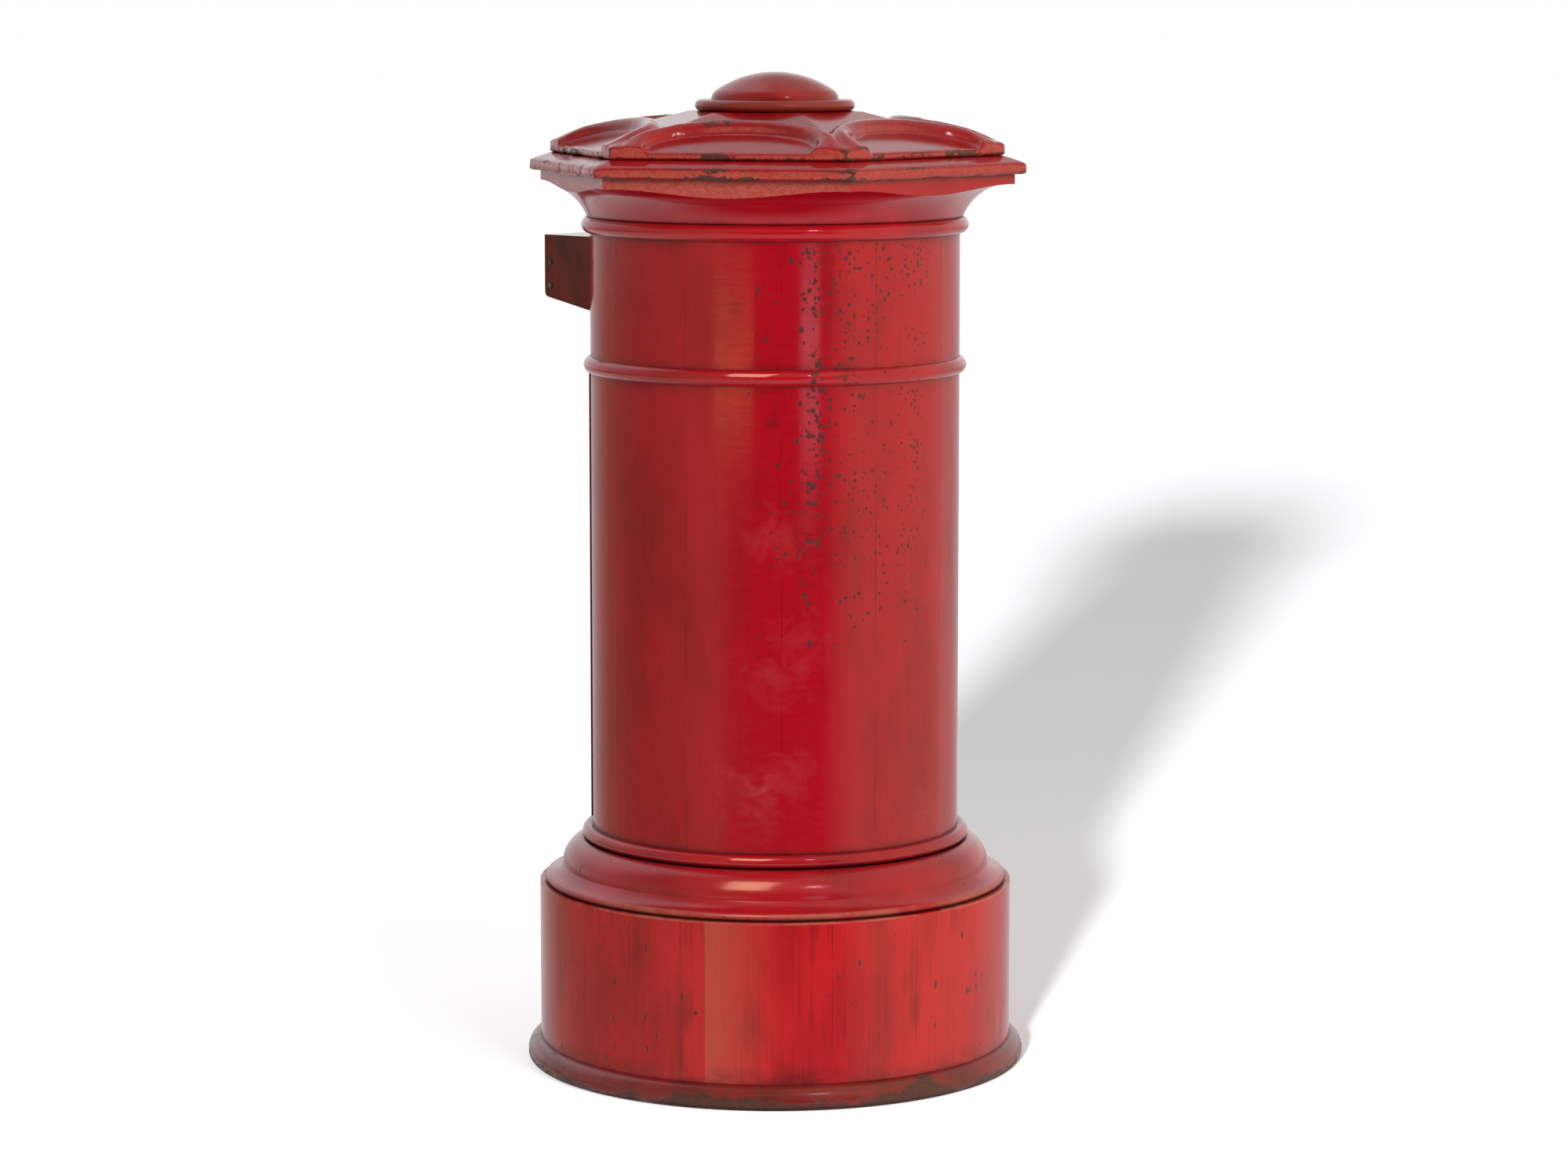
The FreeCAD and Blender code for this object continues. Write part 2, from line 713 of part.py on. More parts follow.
def ledge_screws(fit=0.0):
    """One screw through each ledge into each stave of the door, or their holes."""
    radius = DRUM_IN - GLUE_LINE - LEDGE_T
    places = []
    for low, high in ledge_levels():
        for index in range(DOOR_STAVES):
            angle = HINGE_SEAM + STAVE_STEP * (index + 0.5)
            place = polar(radius, angle, (low + high) / 2)
            places.append((place, polar(-1.0, angle)))
    return screws_at(places, LEDGE_SCREW_L, fit)


def door_stave(index):
    """One stave of the door, counted from the hinge side, cut for hinges and lock where it carries them."""
    start = HINGE_SEAM + STAVE_STEP * index
    end = start + STAVE_STEP
    is_hinge_side = index == 0
    is_lock_side = index == DOOR_STAVES - 1
    start += GAP_ANGLE if is_hinge_side else 0.0
    end -= GAP_ANGLE if is_lock_side else 0.0
    shape = ring_sector(DRUM_IN, DOOR_R, start, end, (DOOR_BOTTOM, DOOR_TOP))
    cuts = ledge_screws(SCREW_FIT)
    if is_hinge_side:
        cuts += leaf_pockets(True) + hinge_screws(True, SCREW_FIT)
    if is_lock_side:
        cuts += lock_cuts()
    return shape.cut(cuts)


def door_stop():
    """Strip fixed inside the drum below the lock, which the door's free edge closes against."""
    outer = DRUM_IN - STOP_CLEARANCE
    lap = math.degrees(STOP_LAP / DRUM_IN)
    width = math.degrees(STOP_W / DRUM_IN)
    levels = (DOOR_BOTTOM, DOOR_BOTTOM + STOP_L)
    start = LOCK_SEAM - lap
    strip = ring_sector(outer - STOP_T, outer, start, start + width, levels)
    rebate_side = ring_sector(outer - STOP_T, DRUM_IN - GLUE_LINE, LOCK_SEAM, start + width, levels)
    return join([strip, rebate_side])


def full_stave(index):
    """One of the drum's whole staves, counted counter-clockwise from the lock side of the door."""
    shape = drum_sector(index, 1, DRUM_R, (DRUM_BASE, DRUM_TOP))
    last = round(360.0 / STAVE_STEP) - DOOR_STAVES - 1
    if index == 0:
        keep_holes = screws_at(keep_screw_places(), SCREW_L, SCREW_FIT)
        shape = shape.cut([keep_pocket()] + [in_lock_frame(hole) for hole in keep_holes])
    if index == last:
        shape = shape.cut(leaf_pockets(False) + hinge_screws(False, SCREW_FIT))
    return shape


def head_stave(index):
    """Stave above the door, counted from the hinge side, cut for the posting aperture."""
    start = HINGE_SEAM + STAVE_STEP * index
    return ring_sector(DRUM_IN, DRUM_R, start, start + STAVE_STEP, (MIDDLE_BEAD_Z, DRUM_TOP)).cut(aperture())


def door_sill():
    """Curved rail under the door."""
    return ring_sector(DRUM_IN, DRUM_R, HINGE_SEAM, LOCK_SEAM, (DRUM_BASE, SILL_TOP))


def cap_bed():
    """Turned cove under the cap, cut six-sided, so that its lower edge rises to each corner."""
    neck = (NECK_R, DRUM_TOP)
    rim = (BED_R, BED_TOP - BED_EDGE_H)
    chord = math.hypot(rim[0] - neck[0], rim[1] - neck[1])
    edges = [
        line((0, DRUM_TOP), neck),
        arc(neck, rim, COVE_SAG_SHARE * chord),
        line(rim, (BED_R, BED_TOP)),
        line((BED_R, BED_TOP), (0, BED_TOP)),
        line((0, BED_TOP), (0, DRUM_TOP)),
    ]
    return revolve(edges).common(hex_stack([(BED_R, DRUM_TOP), (BED_R, BED_TOP)]))


def cap_slab():
    """Six-sided slab with eased edges and a weathered top."""
    edge_top = BED_TOP + SLAB_EDGE_H
    eased = SLAB_R - SLAB_ARRIS
    return hex_stack([
        (eased, BED_TOP),
        (SLAB_R, BED_TOP + SLAB_ARRIS),
        (SLAB_R, edge_top - SLAB_ARRIS),
        (eased, edge_top),
        (ROOF_R, SLAB_TOP),
    ])


def roof_levels(raise_by):
    """Levels of the roof's pitched faces, or of the corner blocks raised above them."""
    riser = SLAB_TOP + ROOF_RISER_H + raise_by
    return [(ROOF_R, SLAB_TOP), (ROOF_R, riser), (corner_radius(ROOF_FLAT_APOTHEM), riser + ROOF_RISE)]


def on_roof_face(along, up, out):
    """Point over the +X side's face: along the eave, up the slope and out from the face."""
    slope = Vector(-math.cos(ROOF_PITCH), 0, math.sin(ROOF_PITCH))
    square = Vector(math.sin(ROOF_PITCH), 0, math.cos(ROOF_PITCH))
    return Vector(ROOF_EAVE, along, SLAB_TOP + ROOF_RISER_H) + slope * up + square * out


def lunette_outline(margin, out):
    """Oval of a lunette on the +X side's face, widened by a margin."""
    end = on_roof_face(LUNETTE_HALF_W + margin, LUNETTE_LIFT, out)
    crown = on_roof_face(0, LUNETTE_LIFT + LUNETTE_HALF_H + margin, out)
    return Part.Wire(Part.Ellipse(end, crown, on_roof_face(0, LUNETTE_LIFT, out)).toShape())


def lunette_field():
    """Space over a lunette, to the middle of its rib, that the corner blocks stay clear of."""
    square = on_roof_face(0, 0, 1) - on_roof_face(0, 0, 0)
    return Part.Face(lunette_outline(RIB_W / 2, -ROOF_RISE)).extrude(square * 2 * ROOF_RISE)


def rib():
    """Round rib bent about a lunette."""
    half = RIB_W / 2
    start = on_roof_face(LUNETTE_HALF_W + half, LUNETTE_LIFT, RIB_STILT)
    up_slope = on_roof_face(0, 1, 0) - on_roof_face(0, 0, 0)
    section = Part.Wire(Part.makeCircle(half, start, up_slope))
    return lunette_outline(half, RIB_STILT).makePipeShell([section], True, True)


def rib_limit():
    """Space that the ribs' feet are carved down to, so that they end in the corner blocks."""
    foot = SLAB_TOP + ROOF_RISER_H + RIB_FOOT_RISE
    run = ROOF_RISE / RIB_FOOT_SLOPE
    return hex_stack([
        (ROOF_R, SLAB_TOP),
        (ROOF_R, foot),
        (corner_radius(ROOF_EAVE - run), foot + ROOF_RISE),
        (corner_radius(ROOF_FLAT_APOTHEM / 2), foot + ROOF_RISE + RIB_W),
    ])


def round_the_sides(shape):
    """Copies of a shape drawn over the +X axis, one over each side of the cap."""
    step = 360.0 / CAP_SIDES
    return [turned_about_axis(shape, step * (index + 0.5)) for index in range(CAP_SIDES)]


def roof():
    """Carved roof: six sunk lunettes under round ribs that run together at the hips and end in corner blocks."""
    blocks = hex_stack(roof_levels(BLOCK_RISE)).cut(round_the_sides(lunette_field()))
    blocks = blocks.cut(cylinder(BLOCK_IN_R, (SLAB_TOP - RIB_W, ROOF_TOP + FINIAL_R)))
    limit = rib_limit()
    ribs = [piece.common(limit) for piece in round_the_sides(rib())]
    body = join([hex_stack(roof_levels(0.0)), blocks] + ribs)
    return body.cut(cylinder(SPIGOT_R + GLUE_LINE, (ROOF_TOP - SPIGOT_L - GLUE_LINE, ROOF_TOP + SPIGOT_L)))


def finial():
    """Turned finial: spigot, bead and low dome in one piece."""
    bead_top = ROOF_TOP + FINIAL_BEAD_H
    foot = ROOF_TOP - SPIGOT_L
    shoulder_x = DOME_R - DOME_SHOULDER_R
    crown_r = (shoulder_x ** 2 + DOME_RISE ** 2 - DOME_SHOULDER_R ** 2) / (2 * (DOME_RISE - DOME_SHOULDER_R))
    crown_z = DOME_RISE - crown_r
    lean = math.atan2(shoulder_x, -crown_z)
    meet = Vector(crown_r * math.sin(lean), 0, bead_top + crown_z + crown_r * math.cos(lean))
    crown_middle = Vector(crown_r * math.sin(lean / 2), 0, bead_top + crown_z + crown_r * math.cos(lean / 2))
    half_turn = (math.pi / 2 - lean) / 2
    shoulder_middle = Vector(shoulder_x + DOME_SHOULDER_R * math.cos(half_turn), 0,
                             bead_top + DOME_SHOULDER_R * math.sin(half_turn))
    seat_r = FINIAL_R - FINIAL_BEAD_H / 2
    crown = Vector(0, 0, bead_top + DOME_RISE)
    edges = [
        line((0, foot), (SPIGOT_R, foot)),
        line((SPIGOT_R, foot), (SPIGOT_R, ROOF_TOP)),
        line((SPIGOT_R, ROOF_TOP), (seat_r, ROOF_TOP)),
        arc((seat_r, ROOF_TOP), (seat_r, bead_top), -FINIAL_BEAD_H / 2),
        line((seat_r, bead_top), (DOME_R, bead_top)),
        Part.Arc(Vector(DOME_R, 0, bead_top), shoulder_middle, meet).toShape(),
        Part.Arc(meet, crown_middle, crown).toShape(),
        line((0, crown.z), (0, foot)),
    ]
    return revolve(edges)


def stave_nodes():
    """Staves of plinth, drum and door by node name."""
    nodes = {}
    for index in range(PLINTH_STAVES):
        nodes[f"plinth_stave_{index + 1:02d}"] = plinth_stave(index)
    for index in range(round(360.0 / STAVE_STEP) - DOOR_STAVES):
        nodes[f"drum_stave_{index + 1:02d}"] = full_stave(index)
    sides = ["left", "centre", "right"]
    for index, side in enumerate(sides):
        nodes[f"door_stave_{side}"] = door_stave(index)
        pieces = sorted(head_stave(index).Solids, key=lambda solid: solid.CenterOfMass.z)
        nodes[f"head_stave_{side}"] = pieces[0]
        if len(pieces) > 1:
            nodes["lintel_stave"] = pieces[1]
    return nodes


def hardware_nodes():
    """Hinges, lock and fasteners by node name."""
    lower, upper = hinge_centres()
    ledge_places = ledge_screws()
    lock_places = screws_at(lock_screw_places(), LOCK_T + SCREW_L / 2)
    keep_places = screws_at(keep_screw_places(), SCREW_L)
    return {
        "lower_hinge_frame_leaf": leaf(lower, False),
        "lower_hinge_door_leaf": leaf(lower, True),
        "upper_hinge_frame_leaf": leaf(upper, False),
        "upper_hinge_door_leaf": leaf(upper, True),
        "hinge_pins": hinge_pins(),
        "lock_case": lock_case(),
        "lock_bolt": lock_bolt(),
        "keep_plate": keep_plate(),
        "keyhole_liner": keyhole_liner(),
        "door_screws": group(hinge_screws(True) + ledge_places + [in_lock_frame(s) for s in lock_places]),
        "frame_screws": group(hinge_screws(False) + [in_lock_frame(s) for s in keep_places]),
        "mouth_nails": group(mouth_nails()),
    }


def wood_nodes():
    """Boards, mouldings and cap by node name."""
    low_ledge, high_ledge = ledge_levels()
    nail_holes = mouth_nails(SCREW_FIT)
    return {
        "foot_board": foot_board(),
        "plinth_moulding": plinth_moulding(),
        "lower_bead": bead(DRUM_BASE, LOWER_BEAD_H, LOWER_BEAD_OUT),
        "middle_bead": bead(MIDDLE_BEAD_Z, MIDDLE_BEAD_H, MIDDLE_BEAD_OUT),
        "upper_bead": bead(UPPER_BEAD_Z, UPPER_BEAD_H, UPPER_BEAD_OUT),
        "floor_board": end_board(DRUM_BASE, FLOOR_BOARD_H),
        "top_board": end_board(DRUM_TOP - TOP_BOARD_H, TOP_BOARD_H),
        "door_sill": door_sill(),
        "door_stop": door_stop(),
        "lower_ledge": ledge(low_ledge),
        "upper_ledge": ledge(high_ledge),
        "mouth_cheek_right": mouth_cheek(1).cut(nail_holes),
        "mouth_cheek_left": mouth_cheek(-1).cut(nail_holes),
        "mouth_top": mouth_top(),
        "mouth_front": mouth_front().cut(nail_holes),
        "mouth_chute": mouth_chute(),
        "cap_bed": cap_bed(),
        "cap_slab": cap_slab(),
        "roof": roof(),
        "finial": finial(),
    }


def main():
    """Build every piece and write it to its own file."""
    os.makedirs("parts", exist_ok=True)
    nodes = {}
    nodes.update(wood_nodes())
    nodes.update(stave_nodes())
    nodes.update(hardware_nodes())
    for name, shape in nodes.items():
        shape.exportStep(f"parts/{name}.step")
        print(f"{name}: {len(shape.Solids)} solid(s), valid {shape.isValid()}, {shape.Volume:.1f} mm3")


main()
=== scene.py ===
"""Looks of a red-painted wooden pillar letter box, built around its packed construction."""
import logging
import math
from dataclasses import dataclass
from enum import Enum
from functools import reduce

import bpy
import numpy as np
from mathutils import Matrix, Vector, noise


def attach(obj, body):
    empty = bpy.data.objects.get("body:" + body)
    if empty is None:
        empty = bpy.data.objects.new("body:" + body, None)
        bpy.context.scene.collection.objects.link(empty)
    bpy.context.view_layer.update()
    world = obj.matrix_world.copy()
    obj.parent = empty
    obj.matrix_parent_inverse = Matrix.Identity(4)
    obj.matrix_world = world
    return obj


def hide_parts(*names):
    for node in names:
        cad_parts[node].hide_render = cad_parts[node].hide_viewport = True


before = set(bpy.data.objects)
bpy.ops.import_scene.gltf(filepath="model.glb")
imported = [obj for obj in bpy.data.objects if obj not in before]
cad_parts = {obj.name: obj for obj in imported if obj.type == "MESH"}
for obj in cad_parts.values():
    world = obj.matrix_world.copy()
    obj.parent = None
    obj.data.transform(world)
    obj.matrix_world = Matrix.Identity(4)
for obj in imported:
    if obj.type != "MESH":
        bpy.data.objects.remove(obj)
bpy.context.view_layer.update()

LOG = logging.getLogger("letter_box")
CARCASE = "carcase"
MM = 0.001
PER_MM = 1000.0
IMAGE_W = 2000.0
SENSOR_MM = 36.0
CAMERA_AZIMUTH = 133.0
CAMERA_SIDE = CAMERA_AZIMUTH - 90.0
WHITE = (1.0, 1.0, 1.0, 1.0)

Tree = bpy.types.NodeTree
Socket = bpy.types.NodeSocket
Span = tuple[float, float]
Spot = tuple[float, float, float]


class Grain(Enum):
    """Way the timber's fibres run under the paint."""

    UPRIGHT = "upright"
    ROUND = "round"


class Light(Enum):
    """What a lamp is for: to light the colour, or to show in the gloss."""

    COLOUR = "colour"
    GLOSS = "gloss"


def linear(code: str) -> tuple[float, float, float, float]:
    """Turn an sRGB hex code into a linear colour.

    Args:
        code: Colour such as "#B0081D".

    Returns:
        Linear red, green, blue and an alpha of 1.
    """
    parts = [int(code[i:i + 2], 16) / 255 for i in (1, 3, 5)]
    red, green, blue = [p / 12.92 if p <= 0.04045 else ((p + 0.055) / 1.055) ** 2.4 for p in parts]
    return red, green, blue, 1.0


def polar(angle: float, radius: float, height: float) -> Spot:
    """Point from an angle in degrees, a radius and a height in millimetres."""
    turn = math.radians(angle)
    return radius * math.cos(turn), radius * math.sin(turn), height


def add_node(tree: Tree, kind: str, inputs: dict | None = None, **settings: object) -> Socket | None:
    """Add a shader node with its settings, values and links.

    Args:
        tree: Tree that gets the node.
        kind: Blender's name of the node type, without ShaderNode in front.
        inputs: Socket name or number to a value or to the socket that feeds it.
        settings: Properties of the node.

    Returns:
        Its first live output, from which its other outputs can be reached, or None if it has no output.
    """
    node = tree.nodes.new(f"ShaderNode{kind}")
    for name, value in settings.items():
        setattr(node, name, value)
    for key, value in (inputs or {}).items():
        if isinstance(value, Socket):
            tree.links.new(value, node.inputs[key])
        else:
            node.inputs[key].default_value = value
    return next((socket for socket in node.outputs if socket.enabled), None)


def window(tree: Tree, value: Socket, rise: Span, fall: Span) -> Socket:
    """Add a share that eases up over one stretch of a value and down over another.

    Args:
        tree: Tree that gets the nodes.
        value: Socket to look at.
        rise: Where the share goes from 0 to 1.
        fall: Where it goes back to 0.

    Returns:
        Socket from 0 to 1.
    """
    up = add_node(tree, "MapRange", {"Value": value, "From Min": rise[0], "From Max": rise[1]},
                  interpolation_type="SMOOTHSTEP")
    down = add_node(tree, "MapRange", {"Value": value, "From Min": fall[1], "From Max": fall[0]},
                    interpolation_type="SMOOTHSTEP")
    return add_node(tree, "Math", {0: up, 1: down}, operation="MULTIPLY")


def join(tree: Tree, shader: bpy.types.Node, colour: Socket, rough: Socket, normal: Socket) -> None:
    """Feed a shader its colour, roughness and normal.

    Args:
        tree: Tree of the material.
        shader: Surface shader.
        colour: Socket with the colour.
        rough: Socket with the roughness.
        normal: Socket with the normal.
    """
    for name, socket in (("Base Color", colour), ("Roughness", rough), ("Normal", normal)):
        tree.links.new(socket, shader.inputs[name])


def new_material(name: str) -> tuple[bpy.types.Material, Tree, bpy.types.Node]:
    """Make a material with one surface shader.

    Args:
        name: Name of the finish.

    Returns:
        The material, its node tree and its shader node.
    """
    material = bpy.data.materials.new(name)
    material.use_nodes = True
    tree = material.node_tree
    return material, tree, tree.nodes["Principled BSDF"]


@dataclass(frozen=True)
class Coordinates:
    """Sockets with a surface point's place in millimetres."""

    place: Socket
    radius: Socket
    angle: Socket
    height: Socket
    normal: Socket

    @classmethod
    def in_tree(cls, tree: Tree) -> "Coordinates":
        """Add the nodes that give place, radius, angle in degrees, height and normal.

        Args:
            tree: Tree of the material.

        Returns:
            The sockets.
        """
        source = add_node(tree, "TexCoord").node.outputs
        place = add_node(tree, "Mapping", {"Vector": source["Object"], "Scale": (PER_MM,) * 3})
        x, y, height = add_node(tree, "SeparateXYZ", {0: place}).node.outputs
        flat = add_node(tree, "CombineXYZ", {0: x, 1: y})
        radius = add_node(tree, "VectorMath", {0: flat}, operation="LENGTH")
        turn = add_node(tree, "Math", {0: y, 1: x}, operation="ARCTAN2")
        angle = add_node(tree, "Math", {0: turn}, operation="DEGREES")
        return cls(place, radius, angle, height, source["Normal"])


@dataclass(frozen=True)
class Coopering:
    """Where the seams of a ring of staves are, and how far round from one of them a painted highlight
    lightens the paint.
    """

    first_seam: float
    step: float
    radius_mm: float
    painted_highlight_reach: float = 0.0

    def seam_mm(self, tree: Tree, angle: Socket) -> Socket:
        """Add the distance to the nearest seam.

        Args:
            tree: Tree of the material.
            angle: Socket with the angle in degrees.

        Returns:
            Socket with millimetres.
        """
        turned = add_node(tree, "Math", {0: angle, 1: 360.0 - self.first_seam}, operation="ADD")
        counted = add_node(tree, "Math", {0: turned, 1: self.step}, operation="DIVIDE")
        across = add_node(tree, "Math", {0: counted}, operation="FRACT")
        other = add_node(tree, "Math", {0: 1.0, 1: across}, operation="SUBTRACT")
        near = add_node(tree, "Math", {0: across, 1: other}, operation="MINIMUM")
        width = math.radians(self.step) * self.radius_mm
        return add_node(tree, "Math", {0: near, 1: width}, operation="MULTIPLY")


@dataclass(frozen=True)
class Flaking:
    """Field of small flakes lost from the paint: their net of cells, and where they begin and end."""

    cell_mm: float
    radii: Span
    share: float
    angles: tuple[Span, Span]
    heights: tuple[Span, Span]


@dataclass(frozen=True)
class RedOilPaint:
    """Old gloss oil paint, brushed on softwood: deep red, darkened in corners by painted shade and grime,
    rubbed and chipped to wood.
    """

    name: str
    body: str = "#B2091E"
    deep: str = "#7C0812"
    rubbed_and_highlight: str = "#C2503F"
    timber: str = "#3C2219"
    primer: str = "#5E382B"
    grime_and_shade_colour: str = "#3A0D0B"
    roughness: float = 0.09
    patch_mm: float = 85.0
    deep_share: float = 0.55
    streak: float = 0.35
    grain: Grain = Grain.UPRIGHT
    # Share of painted shade and grime in the corners
    corner_shade_and_grime: float = 0.88
    wave_mm: float = 0.08
    brush_mm: float = 0.012
    ripple_mm: float = 0.0
    smudges: tuple[float, ...] = ()
    smears: tuple[Spot, ...] = ()
    knots: tuple[Spot, ...] = ()
    runs: float = 0.0
    nicks: float = 0.0
    holes: tuple[Spot, ...] = ()
    flakes: tuple[Flaking, ...] = ()
    staves: Coopering | None = None
    chips: float = 0.0
    end_grain: tuple[Span, ...] = ()
    end_grain_from_mm: float = 0.0
    bruises: tuple[Spot, ...] = ()
    rim_above_mm: float = 0.0
    rim_outside_mm: float = 0.0
    foot_wear: bool = False
    crack_at: float = 0.0
    bare_inside_mm: float = 0.0

    def material(self) -> bpy.types.Material:
        """Lay the coat and age it as far as this finish asks.

        Returns:
            The finished material.
        """
        coat = PaintCoat(self)
        for wanted, step in (
                (self.runs, coat.stain_runs), (self.ripple_mm, coat.ripple), (self.staves, coat.open_seams),
                (self.end_grain, coat.roughen_sides), (self.rim_above_mm, coat.rub_upright_rim),
                (self.rim_outside_mm, coat.rub_round_rim), (self.smudges, coat.smudge),
                (self.knots, coat.show_knots), (self.smears, coat.smear), (self.flakes, coat.flake),
                (self.chips, coat.chip), (self.foot_wear, coat.scuff_foot), (self.nicks, coat.nick),
                (self.holes, coat.pierce), (self.corner_shade_and_grime, coat.darken_corners_with_shade_and_grime),
                (self.bare_inside_mm, coat.leave_bare)):
            if wanted:
                step()
        return coat.finished()


class PaintCoat:
    """One coat of the oil paint, laid and aged step by step in a material's nodes.

    Sizes in millimetres are those of the real marks, shares go from 0 to 1, and depths are in millimetres.
    """

    FIBRE_MM = 2.4
    FIBRE_DRAWN_OUT = 0.02
    PLANING_MM = 38.0
    RUN_MM = 24.0
    RIPPLE_MM = 3.2
    SEAM_GAP_MM = 14.0
    # Saw marks, drawn at 1.6 mm so that they show from across a room
    SAW_MARK_MM = 1.6
    SAW_LEANS = (0.45, -0.45)
    SAWN_DRY = 0.14
    RIM_UPRIGHT_MM = 0.6
    RIM_ROUND_MM = 2.5
    RIM_TORN_MM = 60.0
    SMUDGE_MM = 26.0
    SMUDGE_CORE_MM = 2.0
    SMUDGE_REACH_MM = 17.0
    SMUDGE_SHARE = 0.5
    KNOT_EDGE_MM = 7.0
    KNOT_RAGGED_MM = 10.0
    KNOT_REACH_MM = (6.0, 12.0)
    KNOT_SHARE = 0.36
    SMEAR_MM = 26.0
    SMEAR_RAGGED_MM = 90.0
    SMEAR_REACH_MM = (36.0, 70.0)
    SMEAR_SHARE = 0.085
    SMEAR_COLOUR = "#D47A74"
    FLAKE_EDGE_MM = 2.0
    FLAKE_RAGGED_MM = 3.4
    FLAKE_CROWD_MM = 30.0
    FLAKE_DEPTH = 0.25
    CHIP_MM = 21.0
    CHIP_DEPTH = 0.35
    SCUFF_MM = 13.0
    SCUFF_HEIGHT_MM = (1.0, 15.0)
    SCUFF_DEPTH = 0.25
    CRACK_WANDER = 2.4
    BRUISE_REACH_MM = (5.0, 24.0)
    BRUISE_SHARE = 0.085
    NICK_CELL_MM = 6.0
    NICK_RADII = (0.06, 0.19)
    NICK_FIELD_MM = 50.0
    NICK_DEPTH = 0.2
    HOLE_RADIUS_MM = 1.5
    HOLE_DEPTH = 0.8
    PRIMER_MM = 4.0
    BARED_DRY = 0.28
    CORNER_MM = 7.0
    CORNER_SHADE_PATCH_MM = 18.0
    INSIDE_PALE = "#B08A5E"
    INSIDE_DARK = "#7A5632"
    OIL_PAINT_IOR = 1.5

    def __init__(self, paint: RedOilPaint) -> None:
        """Lay the fresh coat.

        Args:
            paint: Finish with its colours and its wear.
        """
        self.paint = paint
        self.material, self.tree, self.shader = new_material(paint.name)
        self.at = Coordinates.in_tree(self.tree)
        self.place = self.at.place
        self.fibre = self.brush_marks()
        self.colour = linear(paint.body)
        self.rough = self.add("MapRange", {
            "Value": self.fibre, "To Min": paint.roughness * 0.85, "To Max": paint.roughness * 1.25})
        self.dents = [(self.planing(), paint.wave_mm), (self.fibre, paint.brush_mm)]
        self.deepen()

    def add(self, kind: str, inputs: dict | None = None, **settings: object) -> Socket:
        """Add a node to the coat's tree and give its first live output."""
        return add_node(self.tree, kind, inputs, **settings)

    def cover(self, share: Socket, over: Socket | str, dry: float = 0.0) -> None:
        """Lay another colour over a share of the coat and make that share rougher.

        Args:
            share: Where the colour goes.
            over: Socket with the colour, or its hex code.
            dry: Roughness to add.
        """
        top = linear(over) if isinstance(over, str) else over
        self.colour = self.add("Mix", {0: share, 6: self.colour, 7: top}, data_type="RGBA")
        if dry:
            self.rough = self.add("Math", {0: share, 1: dry, 2: self.rough}, operation="MULTIPLY_ADD")

    def bare(self, mask: Socket, depth: float) -> None:
        """Show dark wood and old primer where the paint is gone.

        Args:
            mask: Where it is gone.
            depth: How deep the loss is.
        """
        torn = self.add("TexNoise", {"Vector": self.place, "Scale": 1 / self.PRIMER_MM, "Detail": 3.0})
        wood = self.add("Mix", {0: torn, 6: linear(self.paint.timber), 7: linear(self.paint.primer)},
                        data_type="RGBA")
        self.cover(mask, wood, self.BARED_DRY)
        self.dents.append((mask, -depth))

    def brush_marks(self) -> Socket:
        """Add brush marks and grain, a millimetre or two wide and a hand long.

        Returns:
            Socket from 0 to 1.
        """
        slow = self.FIBRE_DRAWN_OUT
        if self.paint.grain is Grain.UPRIGHT:
            along = self.add("Mapping", {"Vector": self.place, "Scale": (1.0, 1.0, slow)})
        else:
            across = self.add("CombineXYZ", {0: self.at.radius, 1: self.at.height})
            drift = self.add("Mapping", {"Vector": self.place, "Scale": (slow,) * 3})
            along = self.add("VectorMath", {0: across, 1: drift}, operation="ADD")
        return self.add("TexNoise", {
            "Vector": along, "Scale": 1 / self.FIBRE_MM, "Detail": 4.0, "Roughness": 0.6})

    def planing(self) -> Socket:
        """Add the slow unevenness of hand-planed wood.

        Returns:
            Socket from 0 to 1.
        """
        drawn = self.add("Mapping", {"Vector": self.place, "Scale": (1.0, 1.0, 0.45)})
        return self.add("TexNoise", {"Vector": drawn, "Scale": 1 / self.PLANING_MM, "Detail": 1.5})

    def deepen(self) -> None:
        """Make the paint uneven in depth and streak it along the fibres."""
        drawn = self.add("Mapping", {"Vector": self.place, "Scale": (1.0, 1.0, 0.4)})
        cloud = self.add("TexNoise", {
            "Vector": drawn, "Scale": 1 / self.paint.patch_mm, "Detail": 4.0, "Roughness": 0.62})
        share = self.add("MapRange", {
            "Value": cloud, "From Min": 0.40, "From Max": 0.72, "To Max": self.paint.deep_share},
            interpolation_type="SMOOTHSTEP")
        self.cover(share, self.paint.deep)
        lines = self.add("MapRange", {
            "Value": self.fibre, "From Min": 0.52, "From Max": 0.78, "To Max": self.paint.streak})
        self.cover(lines, self.paint.deep)

    def stain_runs(self) -> None:
        """Stain the paint in long runs down the fibres."""
        long = self.add("Mapping", {"Vector": self.place, "Scale": (1.0, 1.0, 0.3)})
        stain = self.add("TexNoise", {
            "Vector": long, "Scale": 1 / self.RUN_MM, "Detail": 3.0, "Roughness": 0.55})
        brushed = self.add("Math", {0: self.fibre, 1: 0.45, 2: stain}, operation="MULTIPLY_ADD")
        share = self.add("MapRange", {
            "Value": brushed, "From Min": 0.72, "From Max": 0.98, "To Max": self.paint.runs})
        self.cover(share, self.paint.grime_and_shade_colour)

    def ripple(self) -> None:
        """Add the level marks of the plane and the brush across the staves."""
        flat = self.add("Mapping", {"Vector": self.place, "Scale": (0.22, 0.22, 1.0)})
        ripples = self.add("TexNoise", {"Vector": flat, "Scale": 1 / self.RIPPLE_MM, "Detail": 2.0})
        self.dents.append((ripples, self.paint.ripple_mm))
        uneven = self.add("MapRange", {
            "Value": ripples, "From Min": 0.35, "From Max": 0.65, "To Min": -0.01, "To Max": 0.04})
        self.rough = self.add("Math", {0: self.rough, 1: uneven}, operation="ADD")

